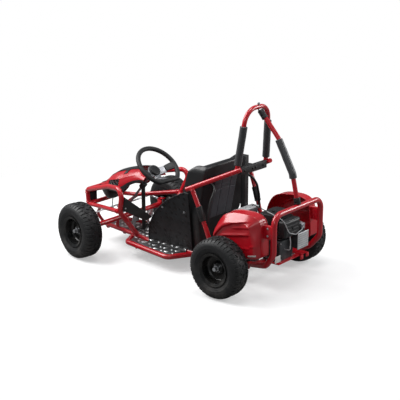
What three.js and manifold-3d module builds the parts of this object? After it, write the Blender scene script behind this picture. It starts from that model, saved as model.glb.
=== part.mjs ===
// Off-road go kart: one seat, petrol engine, tubular frame. Millimetres, +Z up, +X is the kart's left
// and -Y its front. Points are given from the ground midway between the axles; the last lines of the
// file move the whole kart so that its bounding box stands centred over the origin.
import * as THREE from "three";
import { mergeVertices } from "three/addons/utils/BufferGeometryUtils.js";
import Module from "manifold-3d";

const wasm = await Module();
wasm.setup();

// Fits and facets
const GAP = 0.3; // between neighbouring pieces
const RUN = 0.4; // radial play of turning pieces
const TUBE_SIDES = 8;
const BEND_STEP = Math.PI / 6; // turn of one facet ring in a bend
const ROUND = 20; // sides of turned pieces
const SMALL = 8; // sides of pins, studs and slim bars
const HEX = 6;

// Axles
const WHEELBASE = 1016;
const AXLES_DRAWN = [-508, 508]; // where the tables below have the axles
const FRONT_TRACK = 790;
const REAR_TRACK = 745;
const AXLE_HEIGHT = 165;
const [FRONT_Y, REAR_Y] = AXLES_DRAWN;
const LENGTHEN_AT = -120; // between pedals and seat, where a longer kart grows
const KINGPIN_X = 325;
const STEER_SHOWN = THREE.MathUtils.degToRad(-9.3); // front wheels turned to the kart's right

// Tyres, 13 inch outside, 5 inch wide, on 6 inch rims
const TYRE_RADIUS = 165;
const LUG_PITCHES = 10;
const TYRE_SEGMENTS = 2 * LUG_PITCHES; // one lug, left or right, to each
const TYRE_HALF = 62;
const TYRE_OUTSIDE = [
  [79.2, 45],
  [94, 51.4],
  [112, 61],
  [138, TYRE_HALF],
  [155, 51],
];
const TYRE_INSIDE = [
  [144, 40],
  [104, 52],
  [79.2, 38],
];
const LUG_LENGTH = 30; // along the tread
const LUG_PROFILE = [
  [148, 4],
  [TYRE_RADIUS, 4],
  [TYRE_RADIUS, 38],
  [148, 48],
];

// Steel rims
const RIM_SEGMENTS = 16;
const RIM_BORE = 13.2;
const RIM_PROFILE = [
  [RIM_BORE, -22],
  [RIM_BORE, 14],
  [28, 14],
  [38, 1],
  [66, 0],
  [74, 9],
  [74, 49],
  [92, 58],
  [92, 52.6],
  [78, 46],
  [78, -46],
  [92, -52.6],
  [90, -56],
  [73.5, -48],
  [73.5, 0],
  [64, -6],
  [26, -22],
];

// Frame tubes
const FRAME_BEND = 60; // of the tubes' middle lines, where nothing else is given
const RAIL_RADIUS = 13;
const ARCH_RADIUS = 15;
const BUMPER_RADIUS = 16;
const HOOP_RADIUS = 12.7;
const CROSS_RADIUS = 10;
const RAIL = [
  [72, -645, 104],
  [110, -330, 100],
  [132, -215, 97],
  [132, 440, 97],
];
const NOSE_LOW = [
  [-72, -645, 104],
  [72, -645, 104],
];
const RISER = [
  [72, -640, 104],
  [112, -655, 172],
  [168, -574, 246],
];
const SIDE_BAR = [
  [150, -692, 238],
  [168, -574, 246],
  [271, -318, 288],
];
const NOSE_BAR = [
  [-150, -692, 238],
  [150, -692, 238],
];
const NOSE_POST = [
  [150, -692, 238],
  [150, -700, 326],
];
// Half of the arch tube, from its foot on the rail to the nose
const ARCH = [
  [112, -318, 100],
  [272, -305, 284],
  [308, -248, 440],
  [235, -430, 412],
  [152, -700, 326],
];
const ARCH_BEND = 42;
// Half of the bumper loop, from the rail to the top bar
const BUMPER = [
  [132, 425, 97],
  [150, 545, 130],
  [205, 690, 168],
  [220, 748, 240],
  [220, 748, 456],
];
const BUMPER_BEND = 58;
const STEP_BAR = [
  [132, -345, 88],
  [214, -312, 88],
  [268, 52, 88],
  [132, 128, 88],
];
const STEP_BEND = 40;
const STEP_RIBS_Y = [-200, -10];
const STEP_RIB_RADIUS = 7;
const STEP_RIB_Z = 86;
const CROSS_TUBES_Y = [-610, -450, -150, 40, 235];
const CROSS_Z = 88;
const BULKHEAD_Y = -318;
const STRUT_CROSS = [
  [-228, 391, 97],
  [228, 391, 97],
];
const STRUT = [
  [228, 391, 97],
  [250.5, 297, 365],
];
const BEAM_HEIGHT = AXLE_HEIGHT;
const BEAM_RADIUS = 15;
const BEAM_FOOT_X = 89;
const ENGINE_PLATE = {
  x: [-166, 108],
  y: [582, 706],
  tongue: { x: [100, 166], y: [582, 622] },
  top: 152,
  thick: 6,
  notch: { x: [-120, -96], y: [560, 640] },
};
const PLATE_TAB = { wide: 26, reach: 14 };
// Middle and height of each tab
const PLATE_TABS = [
  [-96, 26],
  [-150, 22],
];

// Upper cage: armrest rails, strut stubs and roll hoop, welded in one
const HOOP = [
  [131, 437, 622],
  [100, 473, 960],
];
const HOOP_BEND = 85;
const ARMREST = [
  [268, 196, 511],
  [133.5, 466, 639],
];
const STRUT_STUB = [
  [264, 231, 530],
  [254.5, 280, 412],
];
const STRUT_CLAMP = { start: [256, 274, 428], end: [249, 303, 350], radius: 18, bore: 14.8 };
const BRACE = [
  [0, 507, 928],
  [0, 622, 797],
  [0, 706, 632],
  [0, 741, 482],
];
const BRACE_BEND = 180;
const FOAM_RADIUS = 21;
const FOAM_SIDES = 12;
const FOAM_LEG = [
  [128.4, 440.2, 658],
  [108.2, 463.4, 870],
];
const FOAM_BRACE = [
  [0, 630, 783],
  [0, 706, 632],
  [0, 711, 606],
];
const BRACE_TOP = { start: [0, 490, 944], end: [0, 524, 905], radius: 17 };
const BRACE_FOOT = { start: [0, 737, 505], end: [0, 743, 470], radius: 18 };
const HOOP_TOP = HOOP[HOOP.length - 1][2] + HOOP_RADIUS;
const NUB = { y: 479, deep: 33, clear: 0.9, high: 10.4, shank: 4, head: 7 };

// Seat post and its crossbar
const POST = { wide: 34, deep: 30, y: 391, low: 110.6, high: 668 };
const POST_HOOK = { high: 684, forward: 34, thick: 8, lip: 26 };
const CROSSBAR = { half: 116, y: 447, deep: 18, z: 622, tall: 42 };
const CROSSBAR_STAND = { wide: 40, tall: 34 };

// Floor and side steps
const PLATE_THICK = 2.6;
const FLOOR_Z = 98.6;
const FLOOR = [
  [54, -628],
  [94, -334],
  [117.5, -212],
  [117.5, 60],
];
const STEP_PLATE_Z = 93.4;
const STEP_PLATE = [
  [145.6, -322],
  [196, -300],
  [247, 16],
  [234, 46],
  [145.6, 100],
];

// Side guards: leaning panels from the rails up to the armrests
const GUARD_LEAN = THREE.MathUtils.degToRad(17.2);
const GUARD_ORIGIN = [136, 0, 107.6];
const GUARD_THICK = 5;
const GUARD = {
  front: [-206, 0],
  control: [-158, 252],
  top: [172, 400],
  rearTop: [200, 396],
  rearLow: [132, 0],
};
const GUARD_CURVE = 8;
// Leg guards: flat strips from the arches back to the side guards
const LEG_GUARD_THICK = 5;
const LEG_GUARD = [
  [292, -271, 398],
  [278, -297, 306],
  [181, -186, 236],
  [172, -146, 262],
];

// Cowl: sections across the kart, each y, half width, ridge height, edge height
const COWL_SECTIONS = [
  [-698, 44, 346, 340.4],
  [-660, 58, 362, 338],
  [-620, 80, 388, 336],
  [-580, 100, 422, 337],
  [-520, 116, 456, 340],
  [-450, 118, 478, 350],
  [-385, 110, 493, 396],
  [-330, 104, 496, 422],
  [-276, 98, 472, 438],
];
const COWL_STEPS = 10;
const COWL_THICK = 3;
const COWL_POWER = 0.8;
const COWL_NOTCH = 76; // radius cleared round the steering column
const COWL_TRIM = { low: 0.9, high: 3.1 };
const COWL_TRIM_STEPS = [4, 6]; // of the section's steps, those under the ridge strip
const COWL_BAND = { y: [-446, -420] };

// Steering
const COLUMN_TILT = THREE.MathUtils.degToRad(-41.8);
const WHEEL_HUB = [0, -247.7, 517];
const WHEEL_RADIUS = 133;
const WHEEL_FLAT = 110;
const WHEEL_GRIP = 12.5;
const WHEEL_FACETS = 24;
const WHEEL_DISH = 48;
const SPOKE = { wide: 26, thick: 4, root: 18, bend: 50, tip: 118, low: 95.5, rise: 2, disc: 40 };
const SPOKE_ANGLES = [-16, 196]; // degrees of the long spokes; the low one stands upright
const PAD = { radius: 35, high: 16 };
const SHAFT_RADIUS = 8;
const SHAFT_LOW = -454;
const PITMAN = { arm: 50, thick: 5, eye: 11, root: 15, stud: 20.5 };
const PITMAN_SHOWN = Math.asin((80 / PITMAN.arm) * Math.sin(STEER_SHOWN));
const STUD = { radius: 3.6, high: 15.4, head: 8.8, cap: 3.5 };
const EYE = { radius: 11.5, bore: 7.4, high: 10 };
const TIE_RADIUS = 5;
const BEARING = { at: -185, half: 20, long: 34 };
const LOW_BEARING = { at: -404, half: 18, long: 22 };
const COLUMN_POST = { y: -371, radius: 12, low: 101.6 };

// Knuckles
const SLEEVE = { radius: 15, half: 30, bore: 6.4 };
const KINGPIN = { radius: 6, head: 10, headHigh: 7 };
const YOKE = { thick: 6, deep: 17, inner: 30, outer: 15 };
const ARM = [
  [0, 0, 17],
  [0, -26, 17],
  [-14, -52, 30],
  [-20, -80, 34],
];
const ARM_RADIUS = 7;
const ARM_PAD = { radius: 10, low: 32, high: 40 };
const STUB_RADIUS = 12.5;
const STUB_FLANGE = { radius: 19, near: 12, far: 46 };
const ARM_BEND = 20;
const HUB_NUT = { radius: 17, near: 14.4, high: 10, dome: 11, tip: 18 };

// Rear axle and its drive
const AXLE_RADIUS = 12.5;
const BEARING_BLOCK = { x: 146, wide: 24, deep: 56, under: 23, over: 31 };
const CHAIN_PITCH = 12.7;
const CHAIN_LINKS = 40;
const CHAIN = { half: 6.5, channel: 3, over: 6, under: 6, floor: 4.8 };
const SPROCKET = { x: -108, thick: 5, teeth: 30, hub: 22, hubHalf: 12 };
// Each tooth as shares of its pitch and heights from the pitch circle
const TOOTH_SHAPE = [
  [0, -3.6],
  [0.36, 3.9],
  [0.64, 3.9],
];
const CLUTCH = {
  rise: THREE.MathUtils.degToRad(25),
  teeth: 10,
  drum: 44,
  drumFrom: -60,
  drumTo: -94,
  hub: 12,
  root: -52.5,
};
const DISC = { x: 104, thick: 4, radius: 66, hub: 22, hubHalf: 11 };
const CALIPER = {
  x: [87, 121],
  y: [430, 480],
  over: [5, 53], // above the axle's middle
  slot: 2.8,
  reach: 67.5,
  leg: { x: [100, 112], y: [384, 446], z: [110.6, 200] },
};

// Engine
const CRANKCASE = { x: [-52, 74], y: [578, 686], z: [152.4, 262] };
const CYLINDER = { x: 12, y: 634, core: 60, fin: 92, finThick: 3.4, fins: 6, pitch: 11, low: 262 };
const BLOWER = { x: [74.4, 98], radius: 60, grille: 46, recess: 5, open: 103 };
const TANK = { x: [-70, 92], y: [556, 668], z: [350, 408], round: 22 };
const TANK_CAP = { x: 20, y: 600, radius: 17, high: 10 };
const TANK_STAYS = [
  [-50, -42],
  [62, 70],
];
const TANK_STAY_Y = [600, 650];
// Boxes against the rear of the engine
const AIRBOX = { x: [-60, 86], y: [682.3, 722], z: [290.4, 384], round: 12 };
const CARB = { x: [-118, -86], y: [672, 712], z: [292, 334] };
const INTAKE = { x: [-90, 12], y: [650, 682], z: [298, 320] };
const MUFFLER = { x: [-132, -36], y: [686.3, 728], z: [204, 290], round: 9 };

// Fenders
const FENDER_ROOM = 10.5; // between a fender and its tyre
const FENDER = {
  inner: 196,
  outer: REAR_TRACK / 2 - TYRE_HALF - FENDER_ROOM,
  wall: 4,
  bevel: 14,
  facets: 24,
};
const FENDER_OUTLINE = [
  [402, 300],
  [416, 363],
  [450, 414],
  [500, 438],
  [560, 446],
  [622, 446],
  [664, 434],
  [688, 404],
  [696, 340],
  [701, 256],
  [690, 224],
  [640, 213],
  [560, 208],
  [480, 214],
  [420, 246],
];
const FENDER_LUG = { x: [208, 232], y: [694.6, 740], z: [328, 398] };

// Seat
const SEAT_ROOM = 11; // between the seat's sides and the guards where it is widest
const SEAT_FLARE = 350;
const SEAT = {
  half: GUARD_ORIGIN[0] + (SEAT_FLARE - GUARD_ORIGIN[2]) * Math.tan(GUARD_LEAN) - SEAT_ROOM,
  foot: 126,
  flare: SEAT_FLARE,
  low: 107.6,
  high: 638,
  corner: 46,
  wall: 32,
};
const SEAT_SIDE = [
  [-92, 107.6],
  [178, 107.6],
  [216, 300],
  [268, 560],
  [275, 628],
  [238, 638],
  [196, 628],
  [148, 594],
  [130, 540],
  [96, 300],
  [20, 216],
  [-92, 176],
];
const SEAT_CAVITY = [
  [-110, 150],
  [150, 140],
  [186, 300],
  [236, 560],
  [248, 700],
  [0, 700],
  [-110, 400],
];
const CUSHION_GAP = 1;
const CUSHION_SIDE = [
  [-88, 150.6],
  [148, 141.2],
  [184, 300],
  [234, 558],
  [238.4, 606],
  [214, 610],
  [206, 560],
  [156, 300],
  [124, 174],
  [-84, 180],
];

// Pedals
const PEDAL_X = 62;
const PEDAL = { pin: 5, sleeve: 8, wide: 58, padLow: 46, padHigh: 94, thick: 4, sunk: 1, lean: -12, arm: 6 };
const PEDAL_STAND = { y: -398, z: 118, deep: 34, thick: 4, ear: 10, gap: 10, low: 101.6 };

// Control cables
const CABLE_RADIUS = 2.6;
const CABLE_BEND = 40;
const BRAKE_CABLE = [
  [40, -376, 106],
  [60, -300, 104],
  [60, 310, 104],
  [78, 360, 116],
  [92, 400, 190],
  [100, 426, 212],
];
const THROTTLE_CABLE = [
  [-40, -376, 106],
  [-24, -250, 104],
  [-24, 330, 104],
  [-24, 374, 114],
  [-24, 391, 160],
  [-24, 428, 404],
  [60, 520, 430],
  [110, 660, 424],
  [104, 728, 400],
  [62, 736, 322],
  [0, 738, 300],
  [-64, 734, 312],
  [-100, 720, 318],
];


// Paint and surface
const RED = 0xb01420;
const BLACK = 0x17181a;
const RUBBER = 0x1b1b1c;
const STEEL = 0xb9bcc0;
const LOOKS = {
  frame: [RED, 0.3, 0.25],
  shell: [RED, 0.22, 0],
  black: [BLACK, 0.45, 0.1],
  plastic: [0x1d1e20, 0.5, 0],
  rubber: [RUBBER, 0.85, 0],
  foam: [0x25282a, 0.9, 0],
  rim: [0x101112, 0.3, 0.3],
  steel: [STEEL, 0.3, 0.9],
  chequer: [0x9a9ea2, 0.4, 0.8],
  casting: [0x6f7276, 0.5, 0.7],
  vinyl: [0x1b1c1e, 0.55, 0],
};

const vec = ([x, y, z]) => new THREE.Vector3(x, y, z);
const flipX = (points) => points.map(([x, ...rest]) => [-x, ...rest]);
const sided = (points, side) => (side < 0 ? flipX(points) : points);
// Bore that clears a round pin at any turn, both cut with few sides.
const boreFor = (radius) => (radius + GAP) / Math.cos(Math.PI / SMALL);

// A geometry as one closed solid with its faces outwards.
function solid(geometry) {
  const bare = new THREE.BufferGeometry();
  const source = geometry.index ? geometry.toNonIndexed() : geometry;
  bare.setAttribute("position", source.getAttribute("position"));
  const merged = mergeVertices(bare, 1e-4);
  const build = (index) =>
    new wasm.Manifold(
      new wasm.Mesh({
        numProp: 3,
        vertProperties: merged.attributes.position.array,
        triVerts: new Uint32Array(index),
      }),
    );
  const made = build(merged.index.array);
  return made.volume() < 0 ? build([...merged.index.array].reverse()) : made;
}

const join = (...solids) => solids.flat().reduce((all, next) => all.add(next));
const cut = (body, ...tools) => tools.flat().reduce((left, tool) => left.subtract(tool), body);

function geometryOf(body) {
  const mesh = body.getMesh();
  const position = new Float32Array(mesh.numVert * 3);
  for (let i = 0; i < mesh.numVert; i++)
    position.set(mesh.vertProperties.subarray(i * mesh.numProp, i * mesh.numProp + 3), i * 3);
  return new THREE.BufferGeometry()
    .setAttribute("position", new THREE.BufferAttribute(position, 3))
    .setIndex(new THREE.BufferAttribute(mesh.triVerts, 1));
}

// A named piece with a material of its own.
function piece(name, body, look) {
  const [color, roughness, metalness] = LOOKS[look];
  const material = new THREE.MeshStandardMaterial({
    color,
    roughness,
    metalness,
    flatShading: true,
  });
  const mesh = new THREE.Mesh(geometryOf(body), material);
  mesh.name = name;
  return mesh;
}

function group(...children) {
  const made = new THREE.Group();
  for (const child of children.flat()) made.add(child);
  return made;
}

// A path through given stations, one facet ring at each; a closed one runs back to its first.
class Stations extends THREE.Curve {
  constructor(points, closed = false) {
    super();
    this.points = points;
    this.closed = closed;
    this.spans = closed ? points.length : points.length - 1;
  }
  station(i) {
    const n = this.points.length;
    return this.closed ? this.points[((i % n) + n) % n] : this.points[THREE.MathUtils.clamp(i, 0, n - 1)];
  }
  getPoint(t) {
    const at = t * this.spans;
    const i = Math.min(Math.floor(at + 1e-9), this.closed ? this.spans : this.spans - 1);
    return this.station(i).clone().lerp(this.station(i + 1), at - i);
  }
  getPointAt(u) {
    return this.getPoint(u);
  }
  getTangentAt(u) {
    const i = Math.round(u * this.spans);
    const here = this.station(i);
    const before = here.clone().sub(this.station(i - 1)).normalize();
    const after = this.station(i + 1).clone().sub(here).normalize();
    return before.add(after).normalize();
  }
}

// Corner points with each inner corner rounded to a bend of the given radius.
function bent(corners, radius) {
  const points = corners.map(vec);
  const stations = [points[0]];
  for (let i = 1; i < points.length - 1; i++) {
    const back = points[i - 1].clone().sub(points[i]);
    const on = points[i + 1].clone().sub(points[i]);
    const room = Math.min(back.length(), on.length()) * 0.48;
    back.normalize();
    on.normalize();
    const turn = Math.PI - back.angleTo(on);
    const reach = Math.min(radius * Math.tan(turn / 2), room);
    const size = reach / Math.tan(turn / 2);
    const middle = back.clone().add(on).normalize();
    const centre = points[i].clone().addScaledVector(middle, size / Math.cos(turn / 2));
    const start = points[i].clone().addScaledVector(back, reach).sub(centre);
    const end = points[i].clone().addScaledVector(on, reach).sub(centre);
    const axis = start.clone().cross(end).normalize();
    const steps = Math.max(1, Math.round(turn / BEND_STEP));
    for (let k = 0; k <= steps; k++)
      stations.push(start.clone().applyAxisAngle(axis, (turn * k) / steps).add(centre));
  }
  stations.push(points[points.length - 1]);
  return stations;
}

function circle(radius, sides) {
  const points = [];
  for (let i = 0; i < sides; i++) {
    const angle = (2 * Math.PI * i) / sides;
    points.push(new THREE.Vector2(radius * Math.cos(angle), radius * Math.sin(angle)));
  }
  return points;
}

// A bent round tube, with a bore if one is given.
function tube(corners, radius, { bend = FRAME_BEND, sides = TUBE_SIDES, bore = 0 } = {}) {
  const stations = bent(corners, bend);
  const shape = new THREE.Shape(circle(radius, sides));
  if (bore) shape.holes.push(new THREE.Path(circle(bore, sides)));
  const extrudePath = new Stations(stations);
  return solid(
    new THREE.ExtrudeGeometry(shape, { steps: stations.length - 1, extrudePath, bevelEnabled: false }),
  );
}

// A straight round bar between two points.
function rod(from, to, radius, sides = TUBE_SIDES) {
  const a = vec(from);
  const b = vec(to);
  const along = b.clone().sub(a);
  const geometry = new THREE.CylinderGeometry(radius, radius, along.length(), sides);
  geometry.applyQuaternion(
    new THREE.Quaternion().setFromUnitVectors(new THREE.Vector3(0, 1, 0), along.normalize()),
  );
  const middle = a.add(b).multiplyScalar(0.5);
  return solid(geometry.translate(middle.x, middle.y, middle.z));
}

// A box between two limits on each axis.
function box([x0, x1], [y0, y1], [z0, z1]) {
  const geometry = new THREE.BoxGeometry(x1 - x0, y1 - y0, z1 - z0);
  return solid(geometry.translate((x0 + x1) / 2, (y0 + y1) / 2, (z0 + z1) / 2));
}

// A profile of [radius, place along the axis] turned about the X axis.
function turned(profile, segments) {
  const points = profile.map(([r, x]) => new THREE.Vector2(r, x));
  points.push(points[0].clone());
  return solid(new THREE.LatheGeometry(points, segments).rotateZ(-Math.PI / 2));
}

// A flat outline raised by a height.
function raised(outline, height, options = {}) {
  const flat = outline instanceof THREE.Shape;
  const shape = flat ? outline : new THREE.Shape(outline.map(([x, y]) => new THREE.Vector2(x, y)));
  return new THREE.ExtrudeGeometry(shape, { depth: height, bevelEnabled: false, ...options });
}

// Outline in Y and Z, thick along X from x0 to x1.
function sideways(outline, [x0, x1]) {
  const geometry = raised(outline, x1 - x0);
  const frame = new THREE.Matrix4().makeBasis(vec([0, 1, 0]), vec([0, 0, 1]), vec([1, 0, 0]));
  return solid(geometry.applyMatrix4(frame).translate(x0, 0, 0));
}

// A rectangle with rounded corners, as a shape.
function roundedRect([a0, a1], [b0, b1], radius) {
  const shape = new THREE.Shape();
  const corners = [
    [a1 - radius, b0 + radius, -Math.PI / 2],
    [a1 - radius, b1 - radius, 0],
    [a0 + radius, b1 - radius, Math.PI / 2],
    [a0 + radius, b0 + radius, Math.PI],
  ];
  const points = [];
  for (const [a, b, start] of corners)
    for (let k = 0; k <= 2; k++) {
      const angle = start + (k * Math.PI) / 4;
      points.push(new THREE.Vector2(a + radius * Math.cos(angle), b + radius * Math.sin(angle)));
    }
  shape.setFromPoints(points);
  return shape;
}

// A flat polygon in space, given its corners, thick on both sides of their plane.
function panel(corners, thick) {
  const points = corners.map(vec);
  const along = points[1].clone().sub(points[0]).normalize();
  const normal = along.clone().cross(points[2].clone().sub(points[0])).normalize();
  const across = normal.clone().cross(along);
  const outline = points.map((p) => {
    const from = p.clone().sub(points[0]);
    return [from.dot(along), from.dot(across)];
  });
  const frame = new THREE.Matrix4().makeBasis(along, across, normal).setPosition(points[0]);
  return solid(raised(outline, thick).translate(0, 0, -thick / 2).applyMatrix4(frame));
}

// The welded chassis.
function archBody(grow = 0) {
  const path = [...ARCH, ...flipX(ARCH).reverse()];
  return tube(path, ARCH_RADIUS + grow, { bend: ARCH_BEND });
}

function bumperBody(grow = 0) {
  const path = [...BUMPER, ...flipX(BUMPER).reverse()];
  return tube(path, BUMPER_RADIUS + grow, { bend: BUMPER_BEND, sides: 12 });
}

function railBody(side, grow = 0) {
  return tube(sided(RAIL, side), RAIL_RADIUS + grow);
}

function frontTubes(side) {
  return [
    railBody(side),
    tube(sided(RISER, side), CROSS_RADIUS),
    tube(sided(SIDE_BAR, side), RAIL_RADIUS),
    tube(sided(NOSE_POST, side), RAIL_RADIUS),
  ];
}

function stepBar(side, grow = 0) {
  return tube(sided(STEP_BAR, side), ARCH_RADIUS + grow, { bend: STEP_BEND });
}

function stepTubes(side) {
  const ribs = STEP_RIBS_Y.map((y) => {
    const reach = side * (STEP_BAR[1][0] + STEP_BEND);
    return rod([side * RAIL[2][0], y, STEP_RIB_Z], [reach, y, STEP_RIB_Z], STEP_RIB_RADIUS);
  });
  return [stepBar(side), ...ribs];
}

function railAt(y) {
  for (let i = 1; i < RAIL.length; i++) {
    const [x0, y0] = RAIL[i - 1];
    const [x1, y1] = RAIL[i];
    if (y <= y1) return x0 + ((x1 - x0) * (y - y0)) / (y1 - y0);
  }
  return RAIL[RAIL.length - 1][0];
}

function crossTubes() {
  return CROSS_TUBES_Y.map((y) => rod([-railAt(y), y, CROSS_Z], [railAt(y), y, CROSS_Z], CROSS_RADIUS));
}

function yoke(side) {
  const { thick, deep, inner, outer } = YOKE;
  const x = (a, b) => (side > 0 ? [KINGPIN_X + a, KINGPIN_X + b] : [-KINGPIN_X - b, -KINGPIN_X - a]);
  const y = [FRONT_Y - deep, FRONT_Y + deep];
  const reach = SLEEVE.half + RUN;
  const top = box(x(-inner, outer), y, [AXLE_HEIGHT + reach, AXLE_HEIGHT + reach + thick]);
  const low = box(x(-inner, outer), y, [AXLE_HEIGHT - reach - thick, AXLE_HEIGHT - reach]);
  const web = box(x(-inner, -inner + thick), y, [AXLE_HEIGHT - reach - thick, AXLE_HEIGHT + reach + thick]);
  const pin = [side * KINGPIN_X, FRONT_Y];
  const bore = rod([...pin, 0], [...pin, 2 * AXLE_HEIGHT], boreFor(KINGPIN.radius), SMALL);
  return cut(join(top, low, web), bore);
}

function axleBeam() {
  const end = KINGPIN_X - YOKE.inner + YOKE.thick / 2;
  const beam = rod([-end, FRONT_Y, BEAM_HEIGHT], [end, FRONT_Y, BEAM_HEIGHT], BEAM_RADIUS, SMALL);
  const feet = [-1, 1].map((side) => {
    const x = side * BEAM_FOOT_X;
    return rod([x, FRONT_Y, RAIL[0][2]], [x, FRONT_Y, BEAM_HEIGHT], CROSS_RADIUS);
  });
  return [beam, ...feet, yoke(1), yoke(-1)];
}

function axleStands() {
  const { x, wide, deep, under } = BEARING_BLOCK;
  const low = AXLE_HEIGHT - under;
  const y = [REAR_Y - deep / 2, REAR_Y + deep / 2];
  return [x, -x].map((at) => box([at - wide / 2, at + wide / 2], y, [RAIL[0][2], low - GAP]));
}

function enginePlate() {
  const { x: width, y: depth, tongue, top, thick, notch } = ENGINE_PLATE;
  const z = [top - thick, top];
  const whole = join(box(width, depth, z), box(tongue.x, tongue.y, z));
  const plate = cut(whole, box(notch.x, notch.y, [0, 2 * top]));
  const rear = depth[1];
  const { wide, reach } = PLATE_TAB;
  const tabs = PLATE_TABS.map(([x, drop]) =>
    box([x - wide / 2, x + wide / 2], [rear - thick, rear + reach], [top - drop, top]),
  );
  return [plate, ...tabs];
}

function chassis() {
  const sides = [1, -1].flatMap((side) => [
    ...frontTubes(side),
    ...stepTubes(side),
    tube(sided(STRUT, side), RAIL_RADIUS),
  ]);
  return join(
    archBody(),
    bumperBody(),
    sides,
    fenderLug(1),
    fenderLug(-1),
    rod(...NOSE_LOW, RAIL_RADIUS),
    rod(...NOSE_BAR, RAIL_RADIUS),
    rod([-RAIL[1][0], BULKHEAD_Y, CROSS_Z], [RAIL[1][0], BULKHEAD_Y, CROSS_Z], CROSS_RADIUS),
    rod(...STRUT_CROSS, RAIL_RADIUS),
    crossTubes(),
    axleBeam(),
    lowerBearing(),
    enginePlate(),
    axleStands(),
  );
}

function frame() {
  return group(piece("chassis_frame", chassis(), "frame"));
}

// The upper cage: hoop, armrest rails and strut stubs.
function hoopBody(grow = 0) {
  return tube([...HOOP, ...flipX(HOOP).reverse()], HOOP_RADIUS + grow, { bend: HOOP_BEND });
}

function braceBody(grow = 0) {
  return tube(BRACE, HOOP_RADIUS + grow, { bend: BRACE_BEND });
}

function armrest(side, grow = 0) {
  return rod(...sided(ARMREST, side), RAIL_RADIUS + grow);
}

function nubHole() {
  return rod([0, NUB.y, 0], [0, NUB.y, 2 * HOOP_TOP], NUB.shank + GAP, SMALL);
}

function upperCage() {
  const stubs = [1, -1].map((side) => rod(...sided(STRUT_STUB, side), HOOP_RADIUS));
  const body = join(hoopBody(), armrest(1), armrest(-1), stubs);
  return cut(body, nubHole());
}

function strutClamp(side) {
  const { start, end, radius, bore } = STRUT_CLAMP;
  const ends = sided([start, end], side);
  const [top, foot] = ends.map(vec);
  const beyond = foot.clone().sub(top).normalize().multiplyScalar(radius);
  const hole = rod(top.clone().sub(beyond).toArray(), foot.clone().add(beyond).toArray(), bore, SMALL);
  return cut(rod(...ends, radius, SMALL), hole);
}

function foam(corners, bore) {
  const open = (bore + 4 * GAP) / Math.cos(Math.PI / FOAM_SIDES);
  return tube(corners, FOAM_RADIUS, { bend: BRACE_BEND, sides: FOAM_SIDES, bore: open });
}

function clampRound({ start, end, radius }, ...others) {
  return cut(rod(start, end, radius, SMALL), ...others);
}

function nub() {
  const { y, deep, clear, high, shank, head } = NUB;
  const seat = HOOP_TOP + clear;
  const top = seat + high;
  const stem = rod([0, y, HOOP_TOP - deep], [0, y, top], shank, SMALL);
  return join(stem, rod([0, y, seat], [0, y, top], head, SMALL));
}

// Seat post and the crossbar between the armrests.
function seatPost() {
  const { wide, deep, y, low, high } = POST;
  const post = box([-wide / 2, wide / 2], [y - deep / 2, y + deep / 2], [low, high]);
  const hook = POST_HOOK;
  const front = y - deep / 2 - hook.forward;
  const top = box([-wide / 2, wide / 2], [front, y + deep / 2], [high, hook.high]);
  const lip = box([-wide / 2, wide / 2], [front, front + hook.thick], [high - hook.lip, hook.high]);
  return join(post, top, lip);
}

function crossbar() {
  const { half, y, deep, z, tall } = CROSSBAR;
  const bar = box([-half, half], [y - deep / 2, y + deep / 2], [z - tall / 2, z + tall / 2]);
  const { wide, tall: high } = CROSSBAR_STAND;
  const face = POST.y + POST.deep / 2 + GAP;
  const stand = box([-wide / 2, wide / 2], [face, y], [z - high / 2, z + high / 2]);
  return cut(join(bar, stand), armrest(1, GAP), armrest(-1, GAP), hoopBody(GAP));
}

function cage() {
  const top = clampRound(BRACE_TOP, braceBody(GAP), hoopBody(GAP), nubHole());
  return group(
    piece("upper_cage", upperCage(), "frame"),
    piece("strut_clamp_left", strutClamp(1), "black"),
    piece("strut_clamp_right", strutClamp(-1), "black"),
    piece("rear_brace_tube", cut(braceBody(), hoopBody(GAP)), "frame"),
    piece("brace_top_clamp", top, "black"),
    piece("brace_foot_clamp", clampRound(BRACE_FOOT, braceBody(GAP), bumperBody(GAP)), "black"),
    piece("hoop_foam_left", foam(FOAM_LEG, HOOP_RADIUS), "foam"),
    piece("hoop_foam_right", foam(flipX(FOAM_LEG), HOOP_RADIUS), "foam"),
    piece("brace_foam", foam(FOAM_BRACE, HOOP_RADIUS), "foam"),
    piece("hoop_top_bolt", nub(), "steel"),
    piece("seat_post", seatPost(), "black"),
    piece("seat_crossbar", crossbar(), "black"),
  );
}

// Floor, steps, guards and cowl.
function floorPlate() {
  const outline = [...FLOOR, ...flipX(FLOOR).reverse()];
  return solid(raised(outline, PLATE_THICK).translate(0, 0, FLOOR_Z));
}

function stepPlate(side) {
  const plate = solid(raised(sided(STEP_PLATE, side), PLATE_THICK).translate(0, 0, STEP_PLATE_Z));
  return cut(plate, stepBar(side, GAP), railBody(side, GAP));
}

function sideGuard(side) {
  const { front, control, top, rearTop, rearLow } = GUARD;
  const shape = new THREE.Shape();
  const curve = new THREE.QuadraticBezierCurve(...[front, control, top].map((p) => new THREE.Vector2(...p)));
  const points = curve.getPoints(GUARD_CURVE);
  shape.setFromPoints([...points, new THREE.Vector2(...rearTop), new THREE.Vector2(...rearLow)]);
  const geometry = raised(shape, GUARD_THICK).translate(0, 0, -GUARD_THICK / 2);
  const up = [side * Math.sin(GUARD_LEAN), 0, Math.cos(GUARD_LEAN)];
  const along = vec([0, 1, 0]);
  const frame = new THREE.Matrix4().makeBasis(along, vec(up), along.clone().cross(vec(up)));
  const [x, y, z] = GUARD_ORIGIN;
  return cut(solid(geometry.applyMatrix4(frame).translate(side * x, y, z)), railBody(side, GAP));
}

function legGuard(side) {
  return cut(panel(sided(LEG_GUARD, side), LEG_GUARD_THICK), archBody(GAP), sideGuard(side));
}

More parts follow.
